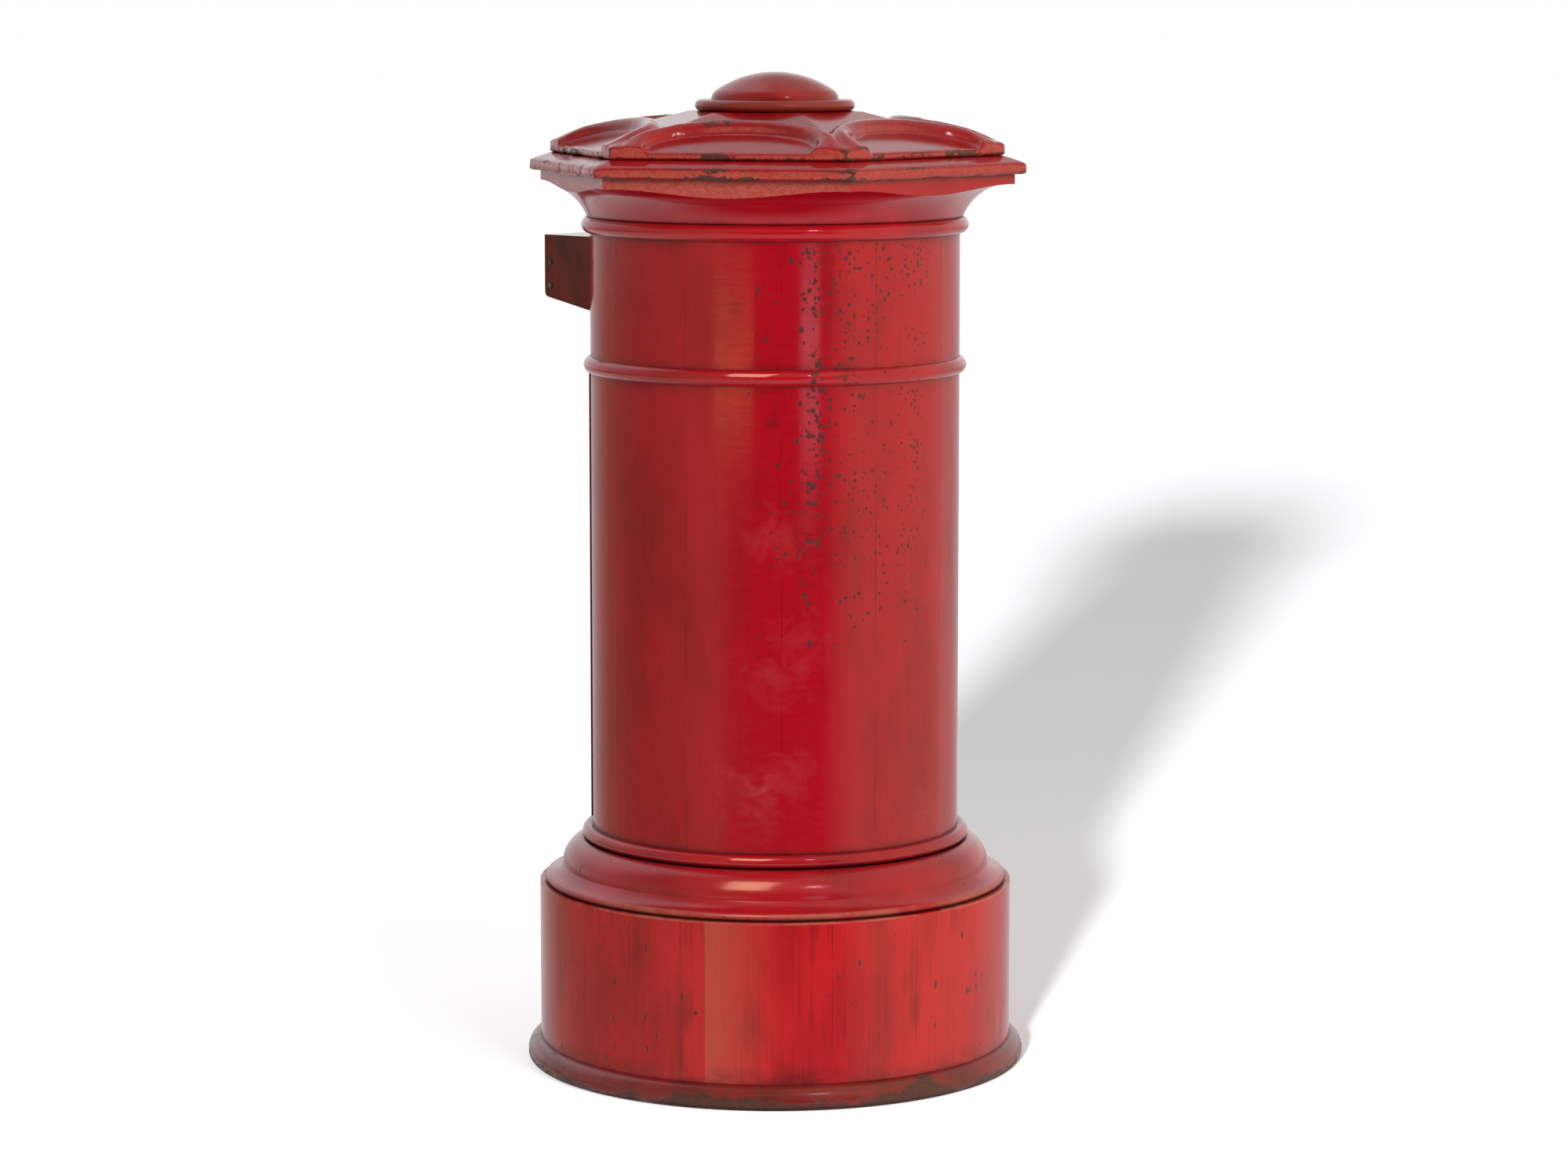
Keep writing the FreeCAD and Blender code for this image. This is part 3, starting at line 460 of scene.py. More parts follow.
    def open_seams(self) -> None:
        """Paint a highlight on the stave past the first seam, fading round from it, and draw the seams where
        the paint has opened.
        """
        staves = self.paint.staves
        # Painted highlight: the stave past the first seam is lightened, fading round from the seam
        if staves.painted_highlight_reach:
            highlight_fade = self.add("MapRange", {
                "Value": self.at.angle, "From Min": staves.first_seam, "To Min": 0.62, "To Max": 0.0,
                "From Max": staves.first_seam + staves.painted_highlight_reach}, interpolation_type="SMOOTHSTEP")
            past = self.add("Math", {0: self.at.angle, 1: staves.first_seam}, operation="GREATER_THAN")
            share = self.add("Math", {0: highlight_fade, 1: past}, operation="MULTIPLY")
            self.cover(share, self.paint.rubbed_and_highlight)
        drawn = self.add("MapRange", {
            "Value": staves.seam_mm(self.tree, self.at.angle), "From Min": 0.1, "From Max": 0.5,
            "To Min": 1.0, "To Max": 0.0})
        stretch = self.add("Mapping", {"Vector": self.place, "Scale": (1.0, 1.0, 0.25)})
        gaps = self.add("TexNoise", {"Vector": stretch, "Scale": 1 / self.SEAM_GAP_MM, "Detail": 2.0})
        opened = self.add("MapRange", {"Value": gaps, "From Min": 0.44, "From Max": 0.64, "To Max": 0.75})
        line = self.add("Math", {0: drawn, 1: opened}, operation="MULTIPLY")
        self.cover(line, self.paint.grime_and_shade_colour)

    def roughen_sides(self) -> None:
        """Make the upright faces that show sawn ends dry, pale and hatched."""
        sides = []
        for turn, most in self.paint.end_grain:
            facing = self.add("VectorMath", {0: self.at.normal, 1: polar(turn, 1.0, 0.0)},
                              operation="DOT_PRODUCT")
            sides.append(self.add("MapRange", {
                "Value": facing, "From Min": 0.90, "From Max": 0.97, "To Max": most}))
        side = reduce(lambda one, two: self.add("Math", {0: one, 1: two}, operation="MAXIMUM"), sides)
        outer = self.add("Math", {0: self.at.radius, 1: self.paint.end_grain_from_mm},
                         operation="GREATER_THAN")
        sawn = self.add("Math", {0: outer, 1: side}, operation="MULTIPLY")
        level = self.add("Mapping", {
            "Vector": self.place, "Rotation": (0, 0, -math.radians(self.paint.end_grain[0][0]))})
        cuts = []
        for lean in self.SAW_LEANS:
            turned = self.add("Mapping", {"Vector": level, "Rotation": (lean, 0, 0)})
            drawn = self.add("Mapping", {"Vector": turned, "Scale": (0.35, 0.35, 1.0)})
            cuts.append(self.add("TexNoise", {
                "Vector": drawn, "Scale": 1 / self.SAW_MARK_MM, "Detail": 2.0, "Roughness": 0.6}))
        hatch = self.add("Math", {0: cuts[0], 1: cuts[1]}, operation="MINIMUM")
        marks = self.add("MapRange", {"Value": hatch, "From Min": 0.28, "From Max": 0.52, "To Min": 0.25})
        share = self.add("Math", {0: sawn, 1: marks}, operation="MULTIPLY")
        self.cover(share, self.paint.rubbed_and_highlight)
        self.rough = self.add("Math", {0: sawn, 1: self.SAWN_DRY, 2: self.rough}, operation="MULTIPLY_ADD")

    def rub_upright_rim(self) -> None:
        """Rub the top of an upright wall."""
        self.rub_rim(self.at.height, self.paint.rim_above_mm, self.RIM_UPRIGHT_MM)

    def rub_round_rim(self) -> None:
        """Rub the outside of a turned board."""
        self.rub_rim(self.at.radius, self.paint.rim_outside_mm, self.RIM_ROUND_MM)

    def rub_rim(self, outer: Socket, first: float, wide: float) -> None:
        """Rub the outermost edge down to a dry pale red.

        Args:
            outer: Height or radius.
            first: Where the edge starts.
            wide: How far on it is rubbed fully.
        """
        rim = self.add("MapRange", {"Value": outer, "From Min": first, "From Max": first + wide})
        torn = self.add("TexNoise", {
            "Vector": self.place, "Scale": 1 / self.RIM_TORN_MM, "Detail": 6.0, "Roughness": 0.7})
        worn = self.add("MapRange", {"Value": torn, "From Min": 0.40, "From Max": 0.53, "To Max": 0.9})
        share = self.add("Math", {0: rim, 1: worn}, operation="MULTIPLY")
        self.cover(share, self.paint.rubbed_and_highlight, dry=0.2)

    def smudge(self) -> None:
        """Stain the paint beside the beads, where dusters have pushed the dirt."""
        squat = self.add("Mapping", {"Vector": self.place, "Scale": (0.7, 0.7, 1.4)})
        cloud = self.add("TexNoise", {
            "Vector": squat, "Scale": 1 / self.SMUDGE_MM, "Detail": 6.0, "Roughness": 0.72})
        torn = self.add("MapRange", {
            "Value": cloud, "From Min": 0.40, "From Max": 0.66, "To Max": self.SMUDGE_SHARE})
        core, reach = self.SMUDGE_CORE_MM, self.SMUDGE_REACH_MM
        for level in self.paint.smudges:
            near = window(self.tree, self.at.height, (level - reach, level - core),
                          (level + core, level + reach))
            share = self.add("Math", {0: near, 1: torn}, operation="MULTIPLY")
            self.cover(share, self.paint.grime_and_shade_colour)

    def around(self, spot: Spot, reach: Span, most: float, edge: Socket | float = 0.0) -> Socket:
        """Add a share that is highest at a spot and fades out around it.

        Args:
            spot: Middle in millimetres.
            reach: Where the share starts to fall and where it is 0, in millimetres.
            most: Highest share.
            edge: Millimetres to add to the distance, for a ragged outline.

        Returns:
            Socket with the share.
        """
        away = self.add("VectorMath", {0: self.place, 1: spot}, operation="DISTANCE")
        ragged = self.add("Math", {0: edge, 1: away}, operation="ADD")
        return self.add("MapRange", {
            "Value": ragged, "From Min": reach[0], "From Max": reach[1], "To Min": most, "To Max": 0.0})

    def show_knots(self) -> None:
        """Let the knots in the staves show through as dark rounds."""
        wander = self.add("TexNoise", {"Vector": self.place, "Scale": 1 / self.KNOT_EDGE_MM, "Detail": 3.0})
        edge = self.add("Math", {0: wander, 1: self.KNOT_RAGGED_MM}, operation="MULTIPLY")
        for knot in self.paint.knots:
            self.cover(self.around(knot, self.KNOT_REACH_MM, self.KNOT_SHARE, edge), self.paint.timber)

    def smear(self) -> None:
        """Cloud the gloss with the pale smears that hands and old polish leave."""
        cloud = self.add("TexNoise", {
            "Vector": self.place, "Scale": 1 / self.SMEAR_MM, "Detail": 5.0, "Roughness": 0.66,
            "Distortion": 1.4})
        edge = self.add("Math", {0: cloud, 1: self.SMEAR_RAGGED_MM}, operation="MULTIPLY")
        for smear in self.paint.smears:
            share = self.around(smear, self.SMEAR_REACH_MM, self.SMEAR_SHARE, edge)
            self.cover(share, self.SMEAR_COLOUR, dry=0.6)

    def scatter(self, place: Socket, cell_mm: float, share: Socket, radii: Span) -> Socket:
        """Add spots, at most one to each cell of an uneven net.

        Args:
            place: Socket with the place in the net.
            cell_mm: Width of a cell.
            share: Share of the cells that have a spot.
            radii: Smallest and largest radius, in cells.

        Returns:
            Socket with 1 in the spots and 0 between them.
        """
        cells = self.add("TexVoronoi", {"Vector": place, "Scale": 1 / cell_mm})
        rank = self.add("SeparateColor", {0: cells.node.outputs["Color"]}).node.outputs
        chosen = self.add("Math", {0: rank[0], 1: share}, operation="LESS_THAN")
        radius = self.add("MapRange", {"Value": rank[1], "To Min": radii[0], "To Max": radii[1]})
        inside = self.add("Math", {0: cells, 1: radius}, operation="LESS_THAN")
        return self.add("Math", {0: inside, 1: chosen}, operation="MULTIPLY")

    def flake(self) -> None:
        """Flake the paint off in fields of small ragged specks."""
        jitter = self.add("TexNoise", {"Vector": self.place, "Scale": 1 / self.FLAKE_EDGE_MM, "Detail": 3.0})
        ragged = self.add("VectorMath", {
            0: jitter.node.outputs["Color"], 1: (self.FLAKE_RAGGED_MM,) * 3, 2: self.place},
            operation="MULTIPLY_ADD")
        crowd = self.add("TexNoise", {"Vector": self.place, "Scale": 1 / self.FLAKE_CROWD_MM, "Detail": 3.0})
        thick = self.add("MapRange", {"Value": crowd, "From Min": 0.36, "From Max": 0.54})
        fields = []
        for field in self.paint.flakes:
            shares = (window(self.tree, self.at.angle, *field.angles),
                      window(self.tree, self.at.height, *field.heights), thick, field.share)
            share = reduce(lambda one, two: self.add("Math", {0: one, 1: two}, operation="MULTIPLY"), shares)
            fields.append(self.scatter(ragged, field.cell_mm, share, field.radii))
        mask = reduce(lambda one, two: self.add("Math", {0: one, 1: two}, operation="MAXIMUM"), fields)
        self.bare(mask, self.FLAKE_DEPTH)

    def chip(self) -> None:
        """Chip the arrises, from the piece's own wear attribute."""
        wear = self.add("Attribute", attribute_name=WornTimber.ATTRIBUTE).node.outputs["Fac"]
        squat = self.add("Mapping", {"Vector": self.place, "Scale": (0.8, 0.8, 1.6)})
        torn = self.add("TexNoise", {
            "Vector": squat, "Scale": 1 / self.CHIP_MM, "Detail": 8.0, "Roughness": 0.76})
        likely = self.add("Math", {0: wear, 1: 0.25, 2: torn}, operation="MULTIPLY_ADD")
        bar = 0.82 - 0.07 * self.paint.chips
        mask = self.add("MapRange", {
            "Value": self.bruised(likely), "From Min": bar - 0.01, "From Max": bar + 0.015})
        self.bare(mask, self.CHIP_DEPTH)

    def scuff_foot(self) -> None:
        """Scuff the foot low down, where mops and shoes have taken the paint, and crack it once."""
        first, last = self.SCUFF_HEIGHT_MM
        low = self.add("MapRange", {
            "Value": self.at.height, "From Min": first, "From Max": last, "To Min": 0.22, "To Max": -0.06})
        drawn = self.add("Mapping", {"Vector": self.place, "Scale": (0.5, 0.5, 1.2)})
        torn = self.add("TexNoise", {
            "Vector": drawn, "Scale": 1 / self.SCUFF_MM, "Detail": 5.0, "Roughness": 0.65})
        likely = self.add("Math", {0: torn, 1: low}, operation="ADD")
        worn = self.add("MapRange", {"Value": self.bruised(likely), "From Min": 0.58, "From Max": 0.66})
        wander = self.add("Math", {0: torn, 1: self.CRACK_WANDER, 2: self.at.angle},
                          operation="MULTIPLY_ADD")
        crack = self.paint.crack_at
        split = window(self.tree, wander, (crack - 0.3, crack - 0.1), (crack + 0.1, crack + 0.3))
        self.bare(self.add("Math", {0: worn, 1: split}, operation="MAXIMUM"), self.SCUFF_DEPTH)

    def bruised(self, likely: Socket) -> Socket:
        """Make wear likelier around the places that have been knocked.

        Args:
            likely: Likelihood of wear so far.

        Returns:
            Socket with the likelihood.
        """
        for bruise in self.paint.bruises:
            near = self.around(bruise, self.BRUISE_REACH_MM, self.BRUISE_SHARE)
            likely = self.add("Math", {0: likely, 1: near}, operation="ADD")
        return likely

    def nick(self) -> None:
        """Add short upright nicks, a millimetre wide, scattered thinly."""
        long = self.add("Mapping", {"Vector": self.place, "Scale": (1.0, 1.0, 0.3)})
        where = self.add("TexNoise", {"Vector": self.place, "Scale": 1 / self.NICK_FIELD_MM, "Detail": 1.0})
        share = self.add("MapRange", {
            "Value": where, "From Min": 0.4, "From Max": 0.65, "To Max": self.paint.nicks})
        self.bare(self.scatter(long, self.NICK_CELL_MM, share, self.NICK_RADII), self.NICK_DEPTH)

    def pierce(self) -> None:
        """Add the old nail holes."""
        holes = []
        for hole in self.paint.holes:
            away = self.add("VectorMath", {0: self.place, 1: hole}, operation="DISTANCE")
            holes.append(self.add("Math", {0: away, 1: self.HOLE_RADIUS_MM}, operation="LESS_THAN"))
        mask = reduce(lambda one, two: self.add("Math", {0: one, 1: two}, operation="MAXIMUM"), holes)
        self.bare(mask, self.HOLE_DEPTH)

    def darken_corners_with_shade_and_grime(self) -> None:
        """Darken the corners with painted shade from an occlusion test, together with the old polish and
        dust gathered there.
        """
        # Painted shade: the more enclosed a point is, the darker it is painted, along with grime in the
        # corners
        corner = self.add("AmbientOcclusion", {"Distance": self.CORNER_MM * MM}, samples=6)
        uneven = self.add("TexNoise", {"Vector": self.place, "Scale": 1 / self.CORNER_SHADE_PATCH_MM, "Detail": 2.0})
        reach = self.add("MapRange", {
            "Value": uneven, "From Min": 0.3, "From Max": 0.7, "To Min": 0.72, "To Max": 0.96})
        share = self.add("MapRange", {
            "Value": corner.node.outputs["AO"], "From Min": 0.45, "From Max": reach,
            "To Min": self.paint.corner_shade_and_grime, "To Max": 0.0})
        self.cover(share, self.paint.grime_and_shade_colour, dry=0.25)

    def leave_bare(self) -> None:
        """Leave the inner side of a stave as bare wood."""
        inside = self.add("Math", {0: self.at.radius, 1: self.paint.bare_inside_mm}, operation="LESS_THAN")
        wood = self.add("Mix", {0: self.fibre, 6: linear(self.INSIDE_PALE), 7: linear(self.INSIDE_DARK)},
                        data_type="RGBA")
        self.cover(inside, wood, dry=0.45)

    def finished(self) -> bpy.types.Material:
        """Join colour, roughness and dents to the shader.

        Returns:
            The finished material.
        """
        under = {}
        for height, depth in self.dents:
            under["Normal"] = self.add("Bump", {
                "Height": height, "Distance": abs(depth) * MM, "Strength": 1.0, **under}, invert=depth < 0)
        join(self.tree, self.shader, self.colour, self.rough, under["Normal"])
        self.shader.inputs["IOR"].default_value = self.OIL_PAINT_IOR
        return self.material


@dataclass(frozen=True)
class PlanedSoftwood:
    """Bare planed softwood, browned by age: matt, with growth lines a few millimetres apart."""

    name: str
    grain: Spot
    pale: str = "#B08A5E"
    dark: str = "#86623C"
    line_mm: float = 3.0
    raised_mm: float = 0.08

    def material(self) -> bpy.types.Material:
        """Build the wood's nodes.

        Returns:
            The finished material.
        """
        material, tree, shader = new_material(self.name)
        at = Coordinates.in_tree(tree)
        drawn = add_node(tree, "Mapping", {"Vector": at.place, "Scale": self.grain})
        lines = add_node(tree, "TexNoise", {
            "Vector": drawn, "Scale": 1 / self.line_mm, "Detail": 4.0, "Roughness": 0.6})
        share = add_node(tree, "MapRange", {"Value": lines, "From Min": 0.35, "From Max": 0.68})
        colour = add_node(tree, "Mix", {0: share, 6: linear(self.pale), 7: linear(self.dark)},
                          data_type="RGBA")
        rough = add_node(tree, "MapRange", {"Value": share, "To Min": 0.55, "To Max": 0.72})
        raised = add_node(tree, "Bump", {"Height": lines, "Distance": self.raised_mm * MM})
        join(tree, shader, colour, rough, raised)
        return material


@dataclass(frozen=True)
class AgedMetal:
    """Old metal fittings: bright where handled, dull and brown where not."""

    name: str
    bright: str
    dull: str
    metallic: float = 1.0
    rough_low: float = 0.28
    rough_high: float = 0.55
    patch_mm: float = 7.0
    pit_mm: float = 0.9
    pit_depth_mm: float = 0.02

    def material(self) -> bpy.types.Material:
        """Build the metal's nodes.

        Returns:
            The finished material.
        """
        material, tree, shader = new_material(self.name)
        at = Coordinates.in_tree(tree)
        cloud = add_node(tree, "TexNoise", {
            "Vector": at.place, "Scale": 1 / self.patch_mm, "Detail": 5.0, "Roughness": 0.6})
        share = add_node(tree, "MapRange", {"Value": cloud, "From Min": 0.35, "From Max": 0.65})
        colour = add_node(tree, "Mix", {0: share, 6: linear(self.bright), 7: linear(self.dull)},
                          data_type="RGBA")
        rough = add_node(tree, "MapRange", {
            "Value": share, "To Min": self.rough_low, "To Max": self.rough_high})
        pits = add_node(tree, "TexNoise", {"Vector": at.place, "Scale": 1 / self.pit_mm, "Detail": 2.0})
        raised = add_node(tree, "Bump", {"Height": pits, "Distance": self.pit_depth_mm * MM})
        join(tree, shader, colour, rough, raised)
        shader.inputs["Metallic"].default_value = self.metallic
        return material


def rows_of(items: bpy.types.bpy_prop_collection, name: str, width: int, kind: type = float) -> np.ndarray:
    """Read one property of a mesh's items.

    Args:
        items: Vertices, normals or edges.
        name: Property.
        width: Values to an item.
        kind: Type of the values.

    Returns:
        One row for each item.
    """
    values = np.zeros(len(items) * width, kind)
    items.foreach_get(name, values)
    return values.reshape(-1, width)


@dataclass
class WornTimber:
    """Board shaped from its construction with arrises eased by hand and knocked by use."""

    ATTRIBUTE = "wear"
    MERGE_MM = 0.01
    SMOOTH_ANGLE = 60.0
    EXPOSED = 0.15
    KNOCK_BAR = 0.12
    FINE_SHARE = 0.3
    SHARP = 0.09

    node: str
    voxel_mm: float
    ease_steps: int
    knock_mm: float
    knock_spread_mm: float = 22.0

    def build(self) -> bpy.types.Object:
        """Model the piece.

        Returns:
            The new object, which stands for its node.
        """
        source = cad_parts[self.node]
        piece = bpy.data.objects.new(f"{self.node}_worn", source.data.copy())
        bpy.context.scene.collection.objects.link(piece)
        bpy.ops.object.select_all(action="DESELECT")
        piece.select_set(True)
        bpy.context.view_layer.objects.active = piece
        bpy.ops.object.mode_set(mode="EDIT")
        bpy.ops.mesh.select_all(action="SELECT")
        bpy.ops.mesh.remove_doubles(threshold=self.MERGE_MM * MM)
        bpy.ops.mesh.normals_make_consistent(inside=False)
        bpy.ops.object.mode_set(mode="OBJECT")
        fine = piece.modifiers.new("even_mesh", "REMESH")
        fine.mode = "VOXEL"
        fine.voxel_size = self.voxel_mm * MM
        bpy.ops.object.modifier_apply(modifier=fine.name)
        self.ease(piece)
        self.knock(piece)
        bpy.ops.object.shade_smooth_by_angle(angle=math.radians(self.SMOOTH_ANGLE))
        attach(piece, CARCASE)
        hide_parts(self.node)
        LOG.info("%s: %d faces", piece.name, len(piece.data.polygons))
        return piece

    def ease(self, piece: bpy.types.Object) -> None:
        """Round the arrises, apart from the seat under the board.

        Args:
            piece: Active object with an even mesh.
        """
        corners = piece.data.vertices
        worked = piece.vertex_groups.new(name="worked")
        seat = min(corner.co.z for corner in corners) + self.voxel_mm * MM
        for corner in corners:
            share = (corner.co.z - seat) / (2.0 * self.voxel_mm * MM)
            worked.add([corner.index], min(1.0, max(0.0, share)), "REPLACE")
        eased = piece.modifiers.new("eased_arrises", "SMOOTH")
        eased.vertex_group = worked.name
        eased.factor = 0.5
        eased.iterations = self.ease_steps
        bpy.ops.object.modifier_apply(modifier=eased.name)

    def knock(self, piece: bpy.types.Object) -> None:
        """Store how exposed each point is, and dent the exposed ones here and there.

        Args:
            piece: Object with an even mesh.
        """
        mesh = piece.data
        spots = rows_of(mesh.vertices, "co", 3)
        normals = rows_of(mesh.vertex_normals, "vector", 3)
        wear = self.exposure(spots, normals, rows_of(mesh.edges, "vertices", 2, int))
        depth = np.zeros(len(spots))
        for index in np.nonzero(wear > self.EXPOSED)[0]:
            spot = Vector(spots[index]) * PER_MM
            torn = noise.noise(spot / self.knock_spread_mm)
            torn += 0.5 * noise.noise(spot / (self.knock_spread_mm * self.FINE_SHARE))
            depth[index] = wear[index] * max(0.0, torn - self.KNOCK_BAR)
        spots -= normals * (depth * self.knock_mm * MM)[:, None]
        mesh.vertices.foreach_set("co", spots.ravel())
        mesh.update()
        stored = mesh.attributes.new(self.ATTRIBUTE, "FLOAT", "POINT")
        stored.data.foreach_set("value", wear.astype(np.float32))

    def exposure(self, spots: np.ndarray, normals: np.ndarray, ends: np.ndarray) -> np.ndarray:
        """Measure how convex the surface is at each point.

        Args:
            spots: Points.
            normals: Normals at the points.
            ends: Pairs of joined points.

        Returns:
            A value from 0, flat or hollow, to 1, a sharp arris.
        """
        count = len(spots)
        near = np.bincount(ends.ravel(), minlength=count).clip(1)
        value = np.zeros(count)
        for axis in range(3):
            total = np.bincount(ends[:, 0], spots[ends[:, 1], axis], count)
            total += np.bincount(ends[:, 1], spots[ends[:, 0], axis], count)
            value += (spots[:, axis] - total / near) * normals[:, axis]
        value /= self.voxel_mm * MM
        for _ in range(2):
            total = np.bincount(ends[:, 0], value[ends[:, 1]], count)
            total += np.bincount(ends[:, 1], value[ends[:, 0]], count)
            value = 0.5 * value + 0.5 * total / near
        return np.clip(value / self.SHARP, 0.0, 1.0)


def finish_nodes(names: list[str], finish: bpy.types.Material) -> None:
    """Give construction nodes a finish.

    Args:
        names: Nodes.
        finish: Material.
    """
    for name in names:
        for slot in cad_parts[name].material_slots:
            slot.material = finish
        LOG.info("%s: %s", name, finish.name)


@dataclass
class Base:
    """Foot board, plinth staves and ogee moulding."""

    staves: int = 12
    seam: float = 26.4
    # Degrees round from the seam over which the plinth's painted highlight fades
    painted_highlight_reach: float = 20.0
    radius_mm: float = 180.4
    wall_mm: float = 16.0
    top_mm: float = 138.6
    top_rim_mm: float = 1.6
    fillet_mm: float = 7.5
    foot_mm: float = 18.0
    foot_crack: float = 40.9
    holes: tuple[Span, ...] = ((20.7, 81.4), (24.1, 69.9))
    scuffs: tuple[Spot, ...] = (
        polar(73.0, 189.8, 8.0), polar(77.0, 189.8, 9.0), polar(81.0, 189.8, 11.0), polar(24.0, 189.6, 5.0),
        polar(31.0, 189.6, 4.0))

    def dress(self) -> None:
        """Paint the base."""
        coopering = Coopering(self.seam, 360.0 / self.staves, self.radius_mm, self.painted_highlight_reach)
        plinth = RedOilPaint(
            "oil_paint_plinth", body="#CC1C24", deep="#980F17", rubbed_and_highlight="#C65A48", roughness=0.12,
            patch_mm=55.0, deep_share=0.6, streak=0.4, runs=0.5, nicks=0.75, brush_mm=0.02, staves=coopering,
            smudges=(self.foot_mm,), holes=tuple(polar(turn, self.radius_mm, up) for turn, up in self.holes),
            rim_above_mm=self.top_mm - self.top_rim_mm, bare_inside_mm=self.radius_mm - self.wall_mm / 2)
        finish_nodes([f"plinth_stave_{index + 1:02d}" for index in range(self.staves)], plinth.material())
        ogee = RedOilPaint(
            "oil_paint_moulding", grain=Grain.ROUND, body="#B5141F", rubbed_and_highlight="#B5523E", roughness=0.17,
            nicks=0.2, wave_mm=0.14, rim_outside_mm=self.radius_mm - self.fillet_mm)
        finish_nodes(["plinth_moulding"], ogee.material())
        foot = RedOilPaint(
            "oil_paint_foot", grain=Grain.ROUND, body="#882321", deep="#5A241E", primer="#6A3A2E",
            roughness=0.2, patch_mm=40.0, deep_share=0.95, foot_wear=True, crack_at=self.foot_crack,
            bruises=self.scuffs)
        finish_nodes(["foot_board"], foot.material())


@dataclass
class Drum:
    """Drum staves, beads, boards and the door's surround."""

    staves: int = 9
    seam: float = 15.0
    step: float = 30.0
    radius_mm: float = 139.8
    wall_mm: float = 13.0
    bead_edges: tuple[float, ...] = (171.6, 534.0, 640.0)
    knots: tuple[Span, ...] = ((32.3, 587.0), (42.2, 501.0))
    smears: tuple[Span, ...] = ((44.5, 415.0), (48.0, 340.0), (43.3, 311.0), (39.5, 217.0), (31.4, 229.0),
                                (45.7, 238.0), (96.5, 204.0))
    flakes: tuple[Flaking, ...] = (
        Flaking(5.0, (0.2, 0.54), 0.8, ((49.0, 54.0), (56.0, 59.0)), ((300.0, 470.0), (624.0, 632.0))),
        Flaking(3.4, (0.16, 0.52), 0.5, ((34.0, 60.0), (88.0, 100.0)), ((320.0, 470.0), (626.0, 634.0))))
    flaked_timber: str = "#34151A"
    flaked_primer: str = "#6A2E2B"

    def dress(self) -> None:
        """Paint the outside and leave the inside bare."""
        paint = RedOilPaint(
            "oil_paint_drum", timber=self.flaked_timber, primer=self.flaked_primer, roughness=0.12,
            patch_mm=62.0, brush_mm=0.03, ripple_mm=0.03, wave_mm=0.11, flakes=self.flakes,
            smudges=self.bead_edges,
            staves=Coopering(self.seam, self.step, self.radius_mm),
            knots=tuple(polar(turn, self.radius_mm, up) for turn, up in self.knots),
            smears=tuple(polar(turn, self.radius_mm, up) for turn, up in self.smears),
            bare_inside_mm=self.radius_mm - self.wall_mm / 2)
        names = [f"drum_stave_{index + 1:02d}" for index in range(self.staves)]
        sides = ("left", "centre", "right")
        names += [f"{piece}_stave_{side}" for piece in ("head", "door") for side in sides]
        finish_nodes(names + ["lintel_stave", "door_sill"], paint.material())
        beads = RedOilPaint(
            "oil_paint_beads", grain=Grain.ROUND, body="#B8121F", timber=self.flaked_timber,
            primer=self.flaked_primer, roughness=0.1, corner_shade_and_grime=0.8, flakes=self.flakes)
        finish_nodes(["lower_bead", "middle_bead", "upper_bead"], beads.material())
        for name, grain, boards in (("softwood_boards", (0.05, 1.0, 1.0), ["floor_board", "top_board"]),
                                    ("softwood_ledges", (0.07, 0.07, 1.0), ["lower_ledge", "upper_ledge"]),
                                    ("softwood_stop", (1.0, 1.0, 0.05), ["door_stop"])):
            finish_nodes(boards, PlanedSoftwood(name, grain).material())


@dataclass
class PostingMouth:
    """Boxed mouth on the drum's front."""

    boards: tuple[str, ...] = ("cheek_left", "cheek_right", "top", "front", "chute")

    def dress(self) -> None:
        """Paint the boards, which have gone brown."""
        paint = RedOilPaint(
            "oil_paint_mouth", body="#7A1512", deep="#3A100C", timber="#2C1610", roughness=0.12,
            patch_mm=26.0, deep_share=0.95, streak=0.8, wave_mm=0.03, brush_mm=0.006)
        finish_nodes([f"mouth_{board}" for board in self.boards], paint.material())


@dataclass
class Cap:
    """Coved bed, slab, carved roof and finial."""

    finial_mm: float = 60.2
    finial_rim_mm: float = 3.0
    bed_side_mm: float = 158.4
    sawn_sides: tuple[Span, ...] = ((30.0, 0.6), (90.0, 0.35))
    sawn_bed: tuple[Span, ...] = ((30.0, 0.9),)
    bruises: tuple[Spot, ...] = (
        polar(17.0, 111.0, 718.0), polar(27.0, 107.0, 718.0), polar(37.0, 109.5, 717.6),
        polar(26.0, 153.0, 696.5), polar(25.0, 168.0, 687.0), polar(59.5, 191.0, 686.0),
        polar(119.0, 191.0, 686.0))

    def dress(self) -> None:
        """Model the worn boards and paint the cap."""
        roof = WornTimber("roof", voxel_mm=1.7, ease_steps=5, knock_mm=1.6).build()
        slab = WornTimber("cap_slab", voxel_mm=2.0, ease_steps=3, knock_mm=2.0).build()
        paint = RedOilPaint(
            "oil_paint_cap", body="#A5131B", rubbed_and_highlight="#C4604F", timber="#47251A", roughness=0.13,
            wave_mm=0.16, corner_shade_and_grime=0.3, chips=0.35, end_grain=self.sawn_sides, bruises=self.bruises).material()
        for piece in (roof, slab):
            piece.data.materials.clear()
            piece.data.materials.append(paint)
        bed = RedOilPaint(
            "oil_paint_bed", grain=Grain.ROUND, rubbed_and_highlight="#BC5E4F", roughness=0.12, wave_mm=0.14, nicks=0.08,
            end_grain=self.sawn_bed, end_grain_from_mm=self.bed_side_mm)
        finish_nodes(["cap_bed"], bed.material())
        finial = RedOilPaint(
            "oil_paint_finial", grain=Grain.ROUND, body="#A3141A", deep="#5E1210", rubbed_and_highlight="#8A3026",
            roughness=0.15, patch_mm=40.0, streak=0.9, corner_shade_and_grime=0.5, wave_mm=0.2, brush_mm=0.08,
            rim_outside_mm=self.finial_mm - self.finial_rim_mm)
        finish_nodes(["finial"], finial.material())


